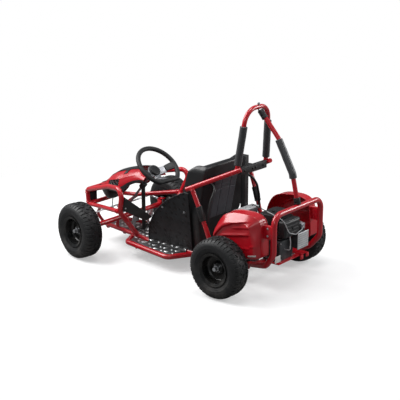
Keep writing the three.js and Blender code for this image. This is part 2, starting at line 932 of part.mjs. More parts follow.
// One cowl section: an arch from edge to edge, steeper at its sides.
function cowlSection([y, half, ridge, edge], offset, from = 0, to = COWL_STEPS) {
  const points = [];
  for (let k = from; k <= to; k++) {
    const angle = Math.PI * (k / COWL_STEPS);
    const bulge = (value) => Math.sign(value) * Math.abs(value) ** COWL_POWER;
    const x = (half + offset) * bulge(Math.cos(angle));
    const z = edge + (ridge - edge + offset) * bulge(Math.sin(angle));
    points.push([x, y, z]);
  }
  return points;
}

// The cowl's section at any y between its ends.
function cowlAt(y) {
  const i = Math.max(1, COWL_SECTIONS.findIndex(([at]) => at >= y));
  const [a, b] = [COWL_SECTIONS[i - 1], COWL_SECTIONS[i]];
  const share = (y - a[0]) / (b[0] - a[0]);
  return a.map((value, k) => value + (b[k] - value) * share);
}

// A shell between two rows of sections, closed at its edges and ends.
function shellBetween(outer, inner) {
  const corners = [];
  const quad = (a, b, c, d) => corners.push(a, b, c, a, c, d);
  const rows = outer.length - 1;
  const last = outer[0].length - 1;
  for (let i = 0; i < rows; i++)
    for (let k = 0; k < last; k++) {
      quad(outer[i][k], outer[i + 1][k], outer[i + 1][k + 1], outer[i][k + 1]);
      quad(inner[i][k], inner[i][k + 1], inner[i + 1][k + 1], inner[i + 1][k]);
    }
  for (let i = 0; i < rows; i++) {
    quad(outer[i][0], inner[i][0], inner[i + 1][0], outer[i + 1][0]);
    quad(outer[i][last], outer[i + 1][last], inner[i + 1][last], inner[i][last]);
  }
  for (let k = 0; k < last; k++) {
    quad(outer[0][k], outer[0][k + 1], inner[0][k + 1], inner[0][k]);
    quad(outer[rows][k], inner[rows][k], inner[rows][k + 1], outer[rows][k + 1]);
  }
  const position = new THREE.Float32BufferAttribute(corners.flat(), 3);
  return solid(new THREE.BufferGeometry().setAttribute("position", position));
}

function cowlBody() {
  const outer = COWL_SECTIONS.map((section) => cowlSection(section, 0));
  const inner = COWL_SECTIONS.map((section) => cowlSection(section, -COWL_THICK));
  return cut(shellBetween(outer, inner), archBody(GAP), columnNotch());
}

function columnNotch() {
  return onColumn(rod([0, 0, SHAFT_LOW], [0, 0, WHEEL_RADIUS], COWL_NOTCH, ROUND));
}

// Black trim on the cowl: a strip along its ridge and a band across it.
function cowlTrim() {
  const { low, high } = COWL_TRIM;
  const strip = (height) => COWL_SECTIONS.map((section) => cowlSection(section, height, ...COWL_TRIM_STEPS));
  const band = (height) => COWL_BAND.y.map((y) => cowlSection(cowlAt(y), height));
  const body = join(shellBetween(strip(high), strip(low)), shellBetween(band(high), band(low)));
  return cut(body, columnNotch());
}

function body() {
  return group(
    piece("floor_plate", floorPlate(), "chequer"),
    piece("side_step_left", stepPlate(1), "chequer"),
    piece("side_step_right", stepPlate(-1), "chequer"),
    piece("side_guard_left", sideGuard(1), "plastic"),
    piece("side_guard_right", sideGuard(-1), "plastic"),
    piece("leg_guard_left", legGuard(1), "plastic"),
    piece("leg_guard_right", legGuard(-1), "plastic"),
    piece("cowl", cowlBody(), "shell"),
    piece("cowl_trim", cowlTrim(), "plastic"),
  );
}

// Wheels: a tyre with its lugs on a steel rim, axis along X, outside towards +X.
function lug(angle, side) {
  const outline = LUG_PROFILE.map(([r, x]) => [side * x, r]);
  const along = vec([1, 0, 0]);
  const frame = new THREE.Matrix4().makeBasis(along, vec([0, 0, 1]), vec([0, -1, 0]));
  const geometry = raised(outline, LUG_LENGTH).translate(0, 0, -LUG_LENGTH / 2).applyMatrix4(frame);
  return solid(geometry.rotateX(angle));
}

function tyre() {
  const mirrored = (points) => points.map(([r, x]) => [r, -x]).reverse();
  const outline = [...TYRE_OUTSIDE, ...mirrored(TYRE_OUTSIDE), ...mirrored(TYRE_INSIDE), ...TYRE_INSIDE];
  const lugs = [];
  for (let i = 0; i < LUG_PITCHES; i++) {
    const angle = (2 * Math.PI * (2 * i + 0.5)) / TYRE_SEGMENTS;
    lugs.push(lug(angle, 1), lug(angle + (2 * Math.PI) / TYRE_SEGMENTS, -1));
  }
  return join(turned(outline, TYRE_SEGMENTS), lugs);
}

function rim() {
  return turned(RIM_PROFILE, RIM_SEGMENTS);
}

function wheel(name, side) {
  const made = group(piece("tyre_" + name, tyre(), "rubber"), piece("rim_" + name, rim(), "rim"));
  if (side < 0) made.rotation.z = Math.PI;
  return made;
}

const looped = (name, side) => name + (side > 0 ? "_left" : "_right");

// A hex nut with a domed end, axis along X, in the frame of its wheel.
function hubNut(side) {
  const { radius, near, high, dome, tip } = HUB_NUT;
  const at = (x) => [side * x, 0, 0];
  const hex = rod(at(near), at(near + high), radius, HEX);
  return join(hex, rod(at(near), at(near + high + tip), dome, SMALL));
}

// Steering knuckle about its kingpin: sleeve with its pin, stub axle, steering arm and stud.
function knuckleBody(side) {
  const at = (x) => [side * x, 0, 0];
  const { radius, half } = SLEEVE;
  const offset = FRONT_TRACK / 2 - KINGPIN_X;
  const pinReach = half + YOKE.thick + RUN + KINGPIN.headHigh;
  const seat = half + YOKE.thick + RUN + GAP;
  const ends = [-1, 1].map((up) => rod([0, 0, up * seat], [0, 0, up * pinReach], KINGPIN.head, HEX));
  const arm = sided(ARM, side);
  const [x, y] = arm[arm.length - 1];
  const nut = hubNut(side).translate([side * offset, 0, 0]);
  return join(
    rod([0, 0, -half], [0, 0, half], radius, SMALL),
    rod([0, 0, -pinReach], [0, 0, pinReach], KINGPIN.radius, SMALL),
    ends,
    rod(at(0), at(offset + HUB_NUT.near), STUB_RADIUS, ROUND),
    rod(at(STUB_FLANGE.near), at(STUB_FLANGE.far), STUB_FLANGE.radius, ROUND),
    tube(arm, ARM_RADIUS, { bend: ARM_BEND, sides: 8 }),
    rod([x, y, ARM_PAD.low], [x, y, ARM_PAD.high], ARM_PAD.radius, SMALL),
    stud([x, y, ARM_PAD.high], STUD.high),
    nut,
  );
}

// A stud with a cap over a rod end, standing on the given point.
function stud([x, y, z], high) {
  const low = z - STUD.cap;
  const top = z + high;
  return join(
    rod([x, y, low], [x, y, top], STUD.radius, SMALL),
    rod([x, y, top - STUD.cap], [x, y, top], STUD.head, SMALL),
  );
}

function corner(side) {
  const made = group(piece(looped("knuckle", side), knuckleBody(side), "steel"));
  const wheelGroup = wheel(side > 0 ? "front_left" : "front_right", side);
  wheelGroup.position.x = side * (FRONT_TRACK / 2 - KINGPIN_X);
  made.add(wheelGroup);
  made.position.set(side * KINGPIN_X, FRONT_Y, AXLE_HEIGHT);
  made.rotation.z = STEER_SHOWN;
  return made;
}

// Steering wheel, column and pitman arm along the column's own axis.
function steeringFrame(...children) {
  const made = group(...children);
  made.position.set(...WHEEL_HUB);
  made.rotation.x = COLUMN_TILT;
  made.updateMatrixWorld(true);
  return made;
}

function wheelLoop() {
  const points = [];
  for (let i = 0; i < WHEEL_FACETS; i++) {
    const angle = (2 * Math.PI * i) / WHEEL_FACETS;
    const y = Math.min(WHEEL_RADIUS * Math.sin(angle), WHEEL_FLAT);
    points.push(new THREE.Vector3(WHEEL_RADIUS * Math.cos(angle), y, 0));
  }
  return new Stations(points, true);
}

function steeringRim() {
  return solid(new THREE.TubeGeometry(wheelLoop(), WHEEL_FACETS, WHEEL_GRIP, 8, true));
}

function spoke(degrees, tip) {
  const { wide, thick, root, bend, rise } = SPOKE;
  const low = -WHEEL_DISH - thick;
  const outline = [
    [root, low],
    [bend + thick, low],
    [tip, rise - thick],
    [tip, rise],
    [bend, -WHEEL_DISH],
    [root, -WHEEL_DISH],
  ];
  const frame = new THREE.Matrix4().makeBasis(vec([1, 0, 0]), vec([0, 0, 1]), vec([0, -1, 0]));
  const geometry = raised(outline, wide).translate(0, 0, -wide / 2).applyMatrix4(frame);
  return solid(geometry.rotateZ(THREE.MathUtils.degToRad(degrees)));
}

function pitman() {
  const { arm, thick, eye, root, stud: reach } = PITMAN;
  const top = SHAFT_LOW + thick;
  const end = [0, -arm];
  return join(
    rod([0, 0, SHAFT_LOW], [0, 0, top], root, SMALL),
    rod([...end, SHAFT_LOW], [...end, top], eye, SMALL),
    box([-eye, eye], [-arm, 0], [SHAFT_LOW, top]),
    rod([...end, SHAFT_LOW - reach], [...end, top + reach], STUD.radius, SMALL),
    rod([...end, top + reach - STUD.cap], [...end, top + reach], STUD.head, SMALL),
    rod([...end, SHAFT_LOW - reach], [...end, SHAFT_LOW - reach + STUD.cap], STUD.head, SMALL),
  ).rotate([0, 0, THREE.MathUtils.radToDeg(PITMAN_SHOWN)]);
}

function steeringColumn() {
  const discLow = -WHEEL_DISH - SPOKE.thick;
  return join(
    rod([0, 0, SHAFT_LOW], [0, 0, -WHEEL_DISH], SHAFT_RADIUS, SMALL),
    rod([0, 0, discLow], [0, 0, -WHEEL_DISH], SPOKE.disc, ROUND),
    SPOKE_ANGLES.map((degrees) => spoke(degrees, SPOKE.tip)),
    spoke(90, SPOKE.low),
    pitman(),
  );
}

function steering() {
  const padLow = -WHEEL_DISH + GAP;
  const pad = rod([0, 0, padLow], [0, 0, padLow + PAD.high], PAD.radius, ROUND);
  return steeringFrame(
    piece("steering_column", steeringColumn(), "steel"),
    piece("steering_wheel_rim", steeringRim(), "rubber"),
    piece("steering_wheel_pad", pad, "plastic"),
  );
}

// A body made along the column's axis, put into the kart's frame.
function onColumn(body) {
  return solid(geometryOf(body).applyMatrix4(steeringFrame().matrixWorld));
}

function columnBore(grow) {
  return onColumn(rod([0, 0, SHAFT_LOW - PITMAN.stud], [0, 0, 0], SHAFT_RADIUS + grow, ROUND));
}

function steeringPost() {
  const { y, radius, low } = COLUMN_POST;
  const { at, half, long } = BEARING;
  const block = onColumn(rod([0, 0, at - long / 2], [0, 0, at + long / 2], half, SMALL));
  const top = vec([0, 0, at]).applyMatrix4(steeringFrame().matrixWorld);
  return cut(join(rod([0, y, low], [0, y, top.z], radius, SMALL), block), columnBore(RUN));
}

function lowerBearing() {
  const { at, half, long } = LOW_BEARING;
  const block = onColumn(rod([0, 0, at - long / 2], [0, 0, at + long / 2], half, SMALL));
  const middle = vec([0, 0, at]).applyMatrix4(steeringFrame().matrixWorld);
  const leg = rod([0, FRONT_Y, BEAM_HEIGHT], [0, middle.y, middle.z], CROSS_RADIUS);
  return cut(join(block, leg), columnBore(RUN));
}

// Where a tie rod's ends lie: both rods share the pitman's stud, the left one above its plate.
function tieEnds(side) {
  const up = new THREE.Vector3(0, 0, 1);
  const { arm, thick, stud: reach } = PITMAN;
  const inner = new THREE.Vector3(0, -arm, 0).applyAxisAngle(up, PITMAN_SHOWN);
  inner.z = SHAFT_LOW + (thick + side * (thick + reach - STUD.cap)) / 2;
  inner.applyMatrix4(steeringFrame().matrixWorld);
  const [x, y] = sided(ARM, side)[ARM.length - 1];
  const high = ARM_PAD.high + (STUD.high - STUD.cap) / 2;
  const outer = new THREE.Vector3(x, y, high).applyAxisAngle(up, STEER_SHOWN);
  outer.add(new THREE.Vector3(side * KINGPIN_X, FRONT_Y, AXLE_HEIGHT));
  return [inner, outer];
}

function eyeAt(point, axis, radius, half) {
  const a = point.clone().addScaledVector(axis, -half).toArray();
  const b = point.clone().addScaledVector(axis, half).toArray();
  return rod(a, b, radius, SMALL);
}

function tieRod(side) {
  const [inner, outer] = tieEnds(side);
  const up = new THREE.Vector3(0, 0, 1);
  const tilted = up.clone().applyAxisAngle(new THREE.Vector3(1, 0, 0), COLUMN_TILT);
  const eyes = [eyeAt(inner, tilted, EYE.radius, EYE.high / 2), eyeAt(outer, up, EYE.radius, EYE.high / 2)];
  const bores = [eyeAt(inner, tilted, EYE.bore, EYE.high), eyeAt(outer, up, boreFor(STUD.radius), EYE.high)];
  return cut(join(rod(inner.toArray(), outer.toArray(), TIE_RADIUS, SMALL), eyes), bores);
}

function steeringParts() {
  return group(
    steering(),
    corner(1),
    corner(-1),
    piece("steering_post", steeringPost(), "black"),
    piece("tie_rod_left", tieRod(1), "steel"),
    piece("tie_rod_right", tieRod(-1), "steel"),
  );
}

// Pedals, hung on one bracket across the floor.
function pedalBracket() {
  const { y, z, deep, thick, ear, gap, low } = PEDAL_STAND;
  const span = PEDAL_X + gap + thick;
  const base = box([-span, span], [y - deep / 2, y + deep / 2], [low, low + thick]);
  const ears = [-1, 1].flatMap((side) =>
    [-gap - thick, gap].map((x) =>
      box([side * PEDAL_X + x, side * PEDAL_X + x + thick], [y - ear, y + ear], [low, z + ear]),
    ),
  );
  const bores = [-1, 1].map((side) =>
    rod([side * PEDAL_X - deep, y, z], [side * PEDAL_X + deep, y, z], boreFor(PEDAL.pin), SMALL),
  );
  const { y: postY, radius } = COLUMN_POST;
  return cut(join(base, ears), bores, rod([0, postY, 0], [0, postY, z], boreFor(radius), SMALL));
}

function pedal(side) {
  const { pin, sleeve, wide, padLow, padHigh, thick, sunk, lean, arm } = PEDAL;
  const { y, z, gap, thick: wall } = PEDAL_STAND;
  const reach = gap + wall + GAP;
  const body = join(
    rod([-reach, 0, 0], [reach, 0, 0], pin, SMALL),
    rod([-gap + RUN, 0, 0], [gap - RUN, 0, 0], sleeve, SMALL),
    box([-arm, arm], [-thick, thick], [0, padHigh - thick]),
    box([-wide / 2, wide / 2], [thick - sunk, 2 * thick], [padLow, padHigh]),
  );
  return body.rotate([lean, 0, 0]).translate([side * PEDAL_X, y, z]);
}

function cable(corners) {
  return tube(corners, CABLE_RADIUS, { bend: CABLE_BEND, sides: 6 });
}

function controls() {
  return group(
    piece("pedal_bracket", pedalBracket(), "black"),
    piece("brake_pedal", pedal(1), "steel"),
    piece("throttle_pedal", pedal(-1), "steel"),
    piece("brake_cable", cable(BRAKE_CABLE), "rubber"),
    piece("throttle_cable", cable(THROTTLE_CABLE), "steel"),
  );
}

// A toothed wheel, axis along X.
function sprocket(teeth, pitchRadius, x) {
  const { thick } = SPROCKET;
  const outline = [];
  for (let i = 0; i < teeth; i++)
    for (const [share, height] of TOOTH_SHAPE) {
      const angle = (2 * Math.PI * (i + share)) / teeth;
      const r = pitchRadius + height;
      outline.push([r * Math.cos(angle), r * Math.sin(angle)]);
    }
  return sideways(outline, [x - thick / 2, x + thick / 2]);
}

const pitchRadiusOf = (teeth) => CHAIN_PITCH / (2 * Math.sin(Math.PI / teeth));

// Distance between the sprocket centres that a chain of whole links asks for.
function centreDistance() {
  const big = pitchRadiusOf(SPROCKET.teeth);
  const small = pitchRadiusOf(CLUTCH.teeth);
  const length = (c) => {
    const lean = Math.asin((big - small) / c);
    return 2 * c * Math.cos(lean) + Math.PI * (big + small) + 2 * (big - small) * lean;
  };
  let [low, high] = [big + small, 4 * (big + small)];
  for (let i = 0; i < 40; i++) {
    const middle = (low + high) / 2;
    if (length(middle) < CHAIN_LINKS * CHAIN_PITCH) low = middle;
    else high = middle;
  }
  return low;
}

const CENTRES = centreDistance();
const CRANK = [REAR_Y + CENTRES * Math.cos(CLUTCH.rise), AXLE_HEIGHT + CENTRES * Math.sin(CLUTCH.rise)];

// The loop that runs round both sprockets at an offset from the pitch line, in Y and Z.
function chainLoop(offset) {
  const big = pitchRadiusOf(SPROCKET.teeth);
  const small = pitchRadiusOf(CLUTCH.teeth);
  const lean = Math.acos((big - small) / CENTRES);
  const points = [];
  const arc = (centre, radius, from, to, steps) => {
    for (let k = 0; k <= steps; k++) {
      const angle = CLUTCH.rise + from + ((to - from) * k) / steps;
      points.push([centre[0] + radius * Math.cos(angle), centre[1] + radius * Math.sin(angle)]);
    }
  };
  arc(CRANK, small + offset, -lean, lean, 6);
  arc([REAR_Y, AXLE_HEIGHT], big + offset, lean, 2 * Math.PI - lean, 14);
  return points;
}

function chain() {
  const { over, under, floor, half, channel } = CHAIN;
  const x = (reach) => [SPROCKET.x - reach, SPROCKET.x + reach];
  const band = cut(sideways(chainLoop(over), x(half)), sideways(chainLoop(-under), x(2 * half)));
  const groove = cut(sideways(chainLoop(floor), x(channel)), sideways(chainLoop(-2 * under), x(channel)));
  return cut(band, groove);
}

function rearAxle() {
  const side = REAR_TRACK / 2;
  const reach = side + HUB_NUT.near + HUB_NUT.high / 2;
  const nuts = [1, -1].map((s) => hubNut(s).translate([s * side, 0, 0]));
  return join(rod([-reach, 0, 0], [reach, 0, 0], AXLE_RADIUS, ROUND), nuts);
}

function hubbed(body, { x, hub, hubHalf }) {
  const across = (reach, radius) => rod([x - reach, 0, 0], [x + reach, 0, 0], radius, ROUND);
  return cut(join(body, across(hubHalf, hub)), across(REAR_TRACK, AXLE_RADIUS + 2 * GAP));
}

function axleSprocket() {
  const body = sprocket(SPROCKET.teeth, pitchRadiusOf(SPROCKET.teeth), SPROCKET.x);
  return hubbed(body, SPROCKET);
}

function brakeDisc() {
  const { x, thick, radius } = DISC;
  const body = rod([x - thick / 2, 0, 0], [x + thick / 2, 0, 0], radius, ROUND);
  return hubbed(body, DISC);
}

function caliper() {
  const { x, y, over, slot, reach, leg } = CALIPER;
  const [axleY, axleZ] = [REAR_Y, AXLE_HEIGHT];
  const block = box(x, y, over.map((rise) => axleZ + rise));
  const foot = box(leg.x, leg.y, leg.z);
  const groove = rod([DISC.x - slot, axleY, axleZ], [DISC.x + slot, axleY, axleZ], reach, ROUND);
  return cut(join(block, foot), groove);
}

function bearingBlock(side) {
  const { x, wide, deep, under, over } = BEARING_BLOCK;
  const limits = side > 0 ? [x - wide / 2, x + wide / 2] : [-x - wide / 2, -x + wide / 2];
  const body = box(limits, [REAR_Y - deep / 2, REAR_Y + deep / 2], [AXLE_HEIGHT - under, AXLE_HEIGHT + over]);
  const ends = [-REAR_TRACK, REAR_TRACK].map((at) => [at, REAR_Y, AXLE_HEIGHT]);
  const bore = rod(...ends, AXLE_RADIUS + RUN + GAP, ROUND);
  return cut(body, bore, bumperBody(GAP));
}

function rearDrive() {
  const side = REAR_TRACK / 2;
  const wheels = [wheel("rear_left", 1), wheel("rear_right", -1)];
  wheels[0].position.x = side;
  wheels[1].position.x = -side;
  const axle = group(
    piece("rear_axle", rearAxle(), "steel"),
    piece("axle_sprocket", axleSprocket(), "steel"),
    piece("brake_disc", brakeDisc(), "steel"),
    wheels,
  );
  axle.position.set(0, REAR_Y, AXLE_HEIGHT);
  return group(
    axle,
    piece("axle_bearing_left", bearingBlock(1), "black"),
    piece("axle_bearing_right", bearingBlock(-1), "black"),
    piece("brake_caliper", caliper(), "casting"),
    piece("drive_chain", chain(), "steel"),
    piece("clutch", clutch(), "steel"),
  );
}

// The engine's clutch drum with its small sprocket.
function clutch() {
  const [y, z] = CRANK;
  const { teeth, drum, drumFrom, drumTo, hub, root } = CLUTCH;
  const small = sprocket(teeth, pitchRadiusOf(teeth), SPROCKET.x);
  return join(
    small,
    rod([root, 0, 0], [SPROCKET.x - SPROCKET.thick, 0, 0], hub, SMALL),
    rod([drumFrom, 0, 0], [drumTo, 0, 0], drum, ROUND),
  ).translate([0, y, z]);
}

// Engine.
function cylinderFins() {
  const { x, y, core, fin, finThick, fins, pitch, low } = CYLINDER;
  const square = (half, from, to) => box([x - half, x + half], [y - half, y + half], [from, to]);
  const parts = [square(core / 2, low - finThick, low + fins * pitch)];
  for (let i = 1; i <= fins; i++) parts.push(square(fin / 2, low + i * pitch - finThick, low + i * pitch));
  return parts;
}

function engineBody() {
  const blocks = [CRANKCASE, CARB, INTAKE].map(({ x, y, z }) => box(x, y, z));
  return join(blocks, cylinderFins());
}

function blower() {
  const { x, radius, recess, grille, open } = BLOWER;
  const body = rod([x[0], ...CRANK], [x[1], ...CRANK], radius, ROUND);
  return cut(body, rod([x[1] - recess, ...CRANK], [open, ...CRANK], grille, ROUND));
}

// A block with its vertical corners rounded, or with those along X or Y for a lying one.
function softBlock({ x, y, z, round }) {
  return solid(raised(roundedRect(x, y, round), z[1] - z[0]).translate(0, 0, z[0]));
}

function standing({ x, y, z, round }) {
  const geometry = raised(roundedRect(x, z, round), y[1] - y[0]);
  const frame = new THREE.Matrix4().makeBasis(vec([1, 0, 0]), vec([0, 0, 1]), vec([0, -1, 0]));
  return solid(geometry.applyMatrix4(frame).translate(0, y[1], 0));
}

function tank() {
  const { x, y, radius, high } = TANK_CAP;
  const top = TANK.z[1];
  const cap = rod([x, y, top - high], [x, y, top + high], radius, SMALL);
  const standing = [CRANKCASE.z[1] + GAP, TANK.z[0] + high];
  const stays = TANK_STAYS.map((limits) => box(limits, TANK_STAY_Y, standing));
  return join(softBlock(TANK), cap, stays);
}

function engine() {
  return group(
    piece("engine_block", engineBody(), "casting"),
    piece("blower_housing", blower(), "plastic"),
    piece("fuel_tank", tank(), "plastic"),
    piece("air_box", standing(AIRBOX), "plastic"),
    piece("muffler", standing(MUFFLER), "casting"),
  );
}

function fenderLug(side, grow = 0) {
  const [x0, x1] = FENDER_LUG.x.map((x) => side * x).sort((a, b) => a - b);
  const { y, z } = FENDER_LUG;
  return box([x0 - grow, x1 + grow], [y[0] - grow, y[1]], [z[0] - grow, z[1] + grow]);
}

// Fenders: shells open towards the engine, rounded at their outer edge.
function fender(side) {
  const { inner, outer, wall, bevel } = FENDER;
  const outline = new THREE.SplineCurve(FENDER_OUTLINE.map((p) => new THREE.Vector2(...p)));
  const shape = new THREE.Shape(outline.getPoints(FENDER.facets));
  const solidFrom = (inset, from, to) => {
    const options = {
      bevelEnabled: true,
      bevelThickness: bevel,
      bevelSize: bevel,
      bevelOffset: -bevel - inset,
      bevelSegments: 2,
    };
    const geometry = raised(shape, to - from - 2 * bevel, options).translate(0, 0, from + bevel);
    const frame = new THREE.Matrix4().makeBasis(vec([0, 1, 0]), vec([0, 0, 1]), vec([1, 0, 0]));
    return solid(geometry.applyMatrix4(frame));
  };
  const hollow = solidFrom(wall, inner - 3 * bevel, outer - wall);
  const beyond = [0, outer * 4];
  const openSide = box([0, inner], beyond, beyond);
  const shell = cut(solidFrom(0, inner - 2 * bevel, outer), hollow, openSide, fenderLug(1, GAP));
  return side > 0 ? shell : shell.mirror([1, 0, 0]);
}

// Seat: a moulded bucket, narrower between the rails, and its cushion.
function seatFront(inset) {
  const { low, high, foot, half, flare, corner } = SEAT;
  const outline = [
    [foot - inset, low],
    [half - inset, flare],
    [half - inset, high - corner],
  ];
  for (let k = 1; k <= 3; k++) {
    const angle = (k * Math.PI) / 6;
    outline.push([half - inset - corner * (1 - Math.cos(angle)), high - corner * (1 - Math.sin(angle))]);
  }
  return [...outline, ...flipX(outline).reverse()];
}

function seatPrism(inset, extra = 0) {
  const outline = seatFront(inset).map(([x, z]) => [x, z + (z > SEAT.flare ? extra : 0)]);
  const geometry = raised(outline, 2 * SEAT.high);
  const frame = new THREE.Matrix4().makeBasis(vec([1, 0, 0]), vec([0, 0, 1]), vec([0, -1, 0]));
  return solid(geometry.applyMatrix4(frame).translate(0, SEAT.high, 0));
}

function seatShell() {
  const { half, wall } = SEAT;
  const body = sideways(SEAT_SIDE, [-half, half]).intersect(seatPrism(0));
  const cavity = sideways(SEAT_CAVITY, [-half, half]).intersect(seatPrism(wall, SEAT.corner));
  return cut(body, cavity, railBody(1, GAP), railBody(-1, GAP));
}

function seatCushion() {
  const { half, wall } = SEAT;
  return sideways(CUSHION_SIDE, [-half, half]).intersect(seatPrism(wall + CUSHION_GAP));
}

function bodywork() {
  return group(
    piece("fender_left", fender(1), "shell"),
    piece("fender_right", fender(-1), "shell"),
    piece("seat_shell", seatShell(), "plastic"),
    piece("seat_cushion", seatCushion(), "vinyl"),
  );
}

// A longer wheelbase moves what lies ahead of LENGTHEN_AT forwards and the rest back.
const longer = (WHEELBASE - (REAR_Y - FRONT_Y)) / 2;
const lengthened = (y) => y + Math.sign(y - LENGTHEN_AT) * longer;

function lengthen(made) {
  if (made.isMesh) {
    const { position } = made.geometry.attributes;
    for (let i = 0; i < position.count; i++) position.setY(i, lengthened(position.getY(i)));
  } else if (made.position.y) made.position.y = lengthened(made.position.y);
  else made.children.forEach(lengthen);
}

// The whole kart, centred over the origin.
const NOSE_END = ARCH[ARCH.length - 1][1] - ARCH_RADIUS;
const TAIL_END = BUMPER[BUMPER.length - 1][1] + BUMPER_RADIUS;
const kart = group(frame(), cage(), body(), steeringParts(), controls(), rearDrive(), engine(), bodywork());
kart.name = "off_road_go_kart";
lengthen(kart);
kart.position.y = -(NOSE_END + TAIL_END) / 2;

export default kart;
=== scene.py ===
import math

import bpy
from bpy.props import FloatProperty, FloatVectorProperty, IntProperty, PointerProperty
from mathutils import Matrix, Quaternion, Vector


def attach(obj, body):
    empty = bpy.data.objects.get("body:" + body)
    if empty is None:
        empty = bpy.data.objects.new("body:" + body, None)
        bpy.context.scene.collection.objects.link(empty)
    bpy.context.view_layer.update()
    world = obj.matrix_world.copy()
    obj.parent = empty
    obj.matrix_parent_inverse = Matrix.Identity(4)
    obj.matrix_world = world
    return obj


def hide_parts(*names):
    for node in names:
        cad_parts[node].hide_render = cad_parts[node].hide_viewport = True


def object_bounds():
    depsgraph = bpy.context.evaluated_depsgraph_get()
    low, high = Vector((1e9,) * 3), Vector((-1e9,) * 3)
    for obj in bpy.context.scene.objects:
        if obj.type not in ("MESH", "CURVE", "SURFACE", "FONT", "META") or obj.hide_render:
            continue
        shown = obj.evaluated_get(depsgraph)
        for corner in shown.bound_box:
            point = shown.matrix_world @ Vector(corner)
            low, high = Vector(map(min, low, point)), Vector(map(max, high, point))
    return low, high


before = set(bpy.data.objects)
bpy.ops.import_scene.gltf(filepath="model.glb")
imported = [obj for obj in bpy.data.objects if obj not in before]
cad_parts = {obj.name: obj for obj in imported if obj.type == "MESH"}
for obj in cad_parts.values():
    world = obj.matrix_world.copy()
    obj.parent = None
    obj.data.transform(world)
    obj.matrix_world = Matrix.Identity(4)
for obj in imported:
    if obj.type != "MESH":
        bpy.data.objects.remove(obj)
cad_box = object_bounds()

bl_info = {
    "name": "Off road go kart",
    "version": (1, 0, 0),
    "blender": (4, 5, 0),
    "location": "View3D > Sidebar > Go kart",
    "description": "Adds the detailed pieces, finishes and studio of a one seat off road go kart",
    "category": "Add Mesh",
}

# Places are in millimetres from the ground midway between the axles, with the front towards -y.
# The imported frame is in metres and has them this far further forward.
MM = 0.001
SHIFT_Y = -24.5
SIDES = ((1, "left"), (-1, "right"))

AXLE_HEIGHT = 165
FRONT_Y, REAR_Y = -508, 508
KINGPIN_X = 325
FRONT_TRACK, REAR_TRACK = 790, 745
STEER_SHOWN = math.radians(-9.3)

# Radii of the tubes, and of their bends
RAIL_RADIUS, ARCH_RADIUS, BUMPER_RADIUS, HOOP_RADIUS, CROSS_RADIUS = 13, 15, 16, 12.7, 10
STEP_TUBE_RADIUS, CABLE_RADIUS = 7, 2.6
FRAME_BEND, ARCH_BEND, BUMPER_BEND, STEP_BEND, HOOP_BEND, BRACE_BEND, CABLE_BEND = 60, 42, 58, 40, 85, 180, 40

# Middle lines of the tubes, on the left side or in the middle
RAIL = [(72, -645, 104), (110, -330, 100), (132, -215, 97), (132, 440, 97)]
RISER = [(72, -640, 104), (112, -655, 172), (168, -574, 246)]
SIDE_BAR = [(150, -692, 238), (168, -574, 246), (271, -318, 288)]
NOSE_POST = [(150, -692, 238), (150, -700, 326)]
ARCH = [(112, -318, 100), (272, -305, 284), (308, -248, 440), (235, -430, 412), (152, -700, 326)]
BUMPER = [(132, 425, 97), (150, 545, 130), (205, 690, 168), (220, 748, 240), (220, 748, 456)]
STEP_BAR = [(132, -345, 88), (214, -312, 88), (268, 52, 88), (132, 128, 88)]
STEP_TUBES = [[(132, y, 86), (254, y, 86)] for y in (-200, -10)]
BEAM_POST = [(89, FRONT_Y, 104), (89, FRONT_Y, AXLE_HEIGHT)]
STRUT = [(228, 391, 97), (250.5, 297, 365)]
CROSS_TUBES_Y = [-610, -450, -150, 40, 235]
CROSS_Z = 88
ARCH_CROSS_TUBE_END = (110, -318, CROSS_Z)
HOOP = [(131, 437, 622), (100, 473, 960)]
ARMREST = [(268, 196, 511), (133.5, 466, 639)]
STRUT_STUB = [(264, 231, 530), (254.5, 280, 412)]
BRACE = [(0, 507, 928), (0, 622, 797), (0, 706, 632), (0, 741, 482)]
FOAM_LEG = [(128.4, 440.2, 658), (108.2, 463.4, 870)]
FOAM_BRACE = [(0, 613, 802.5), (0, 706, 632), (0, 711, 606)]
SEAT_STAY = [(150, 262, 536), (164, 322, 517), (211, 322, 461), (233, 322, 391), (240, 320, 312)]
FRONT_HOSE = [(44, -380, 108), (60, -470, 150), (40, -600, 210), (-30, -660, 240)]
BREATHER = [(31, 688, 212), (31, 724, 216), (31, 726, 262), (28, 718, 292)]
BRAKE_CABLE = [
    (40, -376, 106), (60, -300, 104), (60, 310, 104), (78, 360, 116), (92, 400, 190), (100, 426, 212),
]
THROTTLE_CABLE = [
    (-40, -376, 106), (-24, -250, 104), (-24, 330, 104), (-24, 374, 114), (-24, 391, 160),
    (-24, 428, 404), (60, 520, 430), (110, 660, 424), (104, 728, 400), (62, 736, 322),
    (0, 738, 300), (-64, 734, 312), (-100, 720, 318),
]


# Places and curves


def at(x, y, z):
    """A point of the drawn kart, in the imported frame's metres."""
    return Vector((x, y + SHIFT_Y, z)) * MM


WHEEL_HUB = at(0, -247.7, 517)
COLUMN_LEAN = Quaternion((1, 0, 0), math.radians(-41.8))


def down_column(distance):
    """A point of the steering column's axis, so far below the middle of the wheel."""
    return WHEEL_HUB + COLUMN_LEAN @ Vector((0, 0, -distance)) * MM


def mirrored(points):
    return [(-x, y, z) for x, y, z in points]


def both(points):
    """The left side's points and the right side's."""
    return points, mirrored(points)


def across(side, limits):
    """Limits of x on the left side, taken to a side."""
    return sorted(side * x for x in limits)


def clamped(value):
    return min(max(value, 0.0), 1.0)


def between(low, high, share):
    """The value a share of the way from one to another."""
    return low + (high - low) * share


def step(low, high, value):
    """0 below one value, 1 above another, and a smooth rise between them."""
    share = clamped((value - low) / (high - low))
    return share * share * (3 - 2 * share)


def swell(off, width):
    """1 on a line, falling away smoothly to both sides."""
    return math.exp(-((off / width) ** 2))


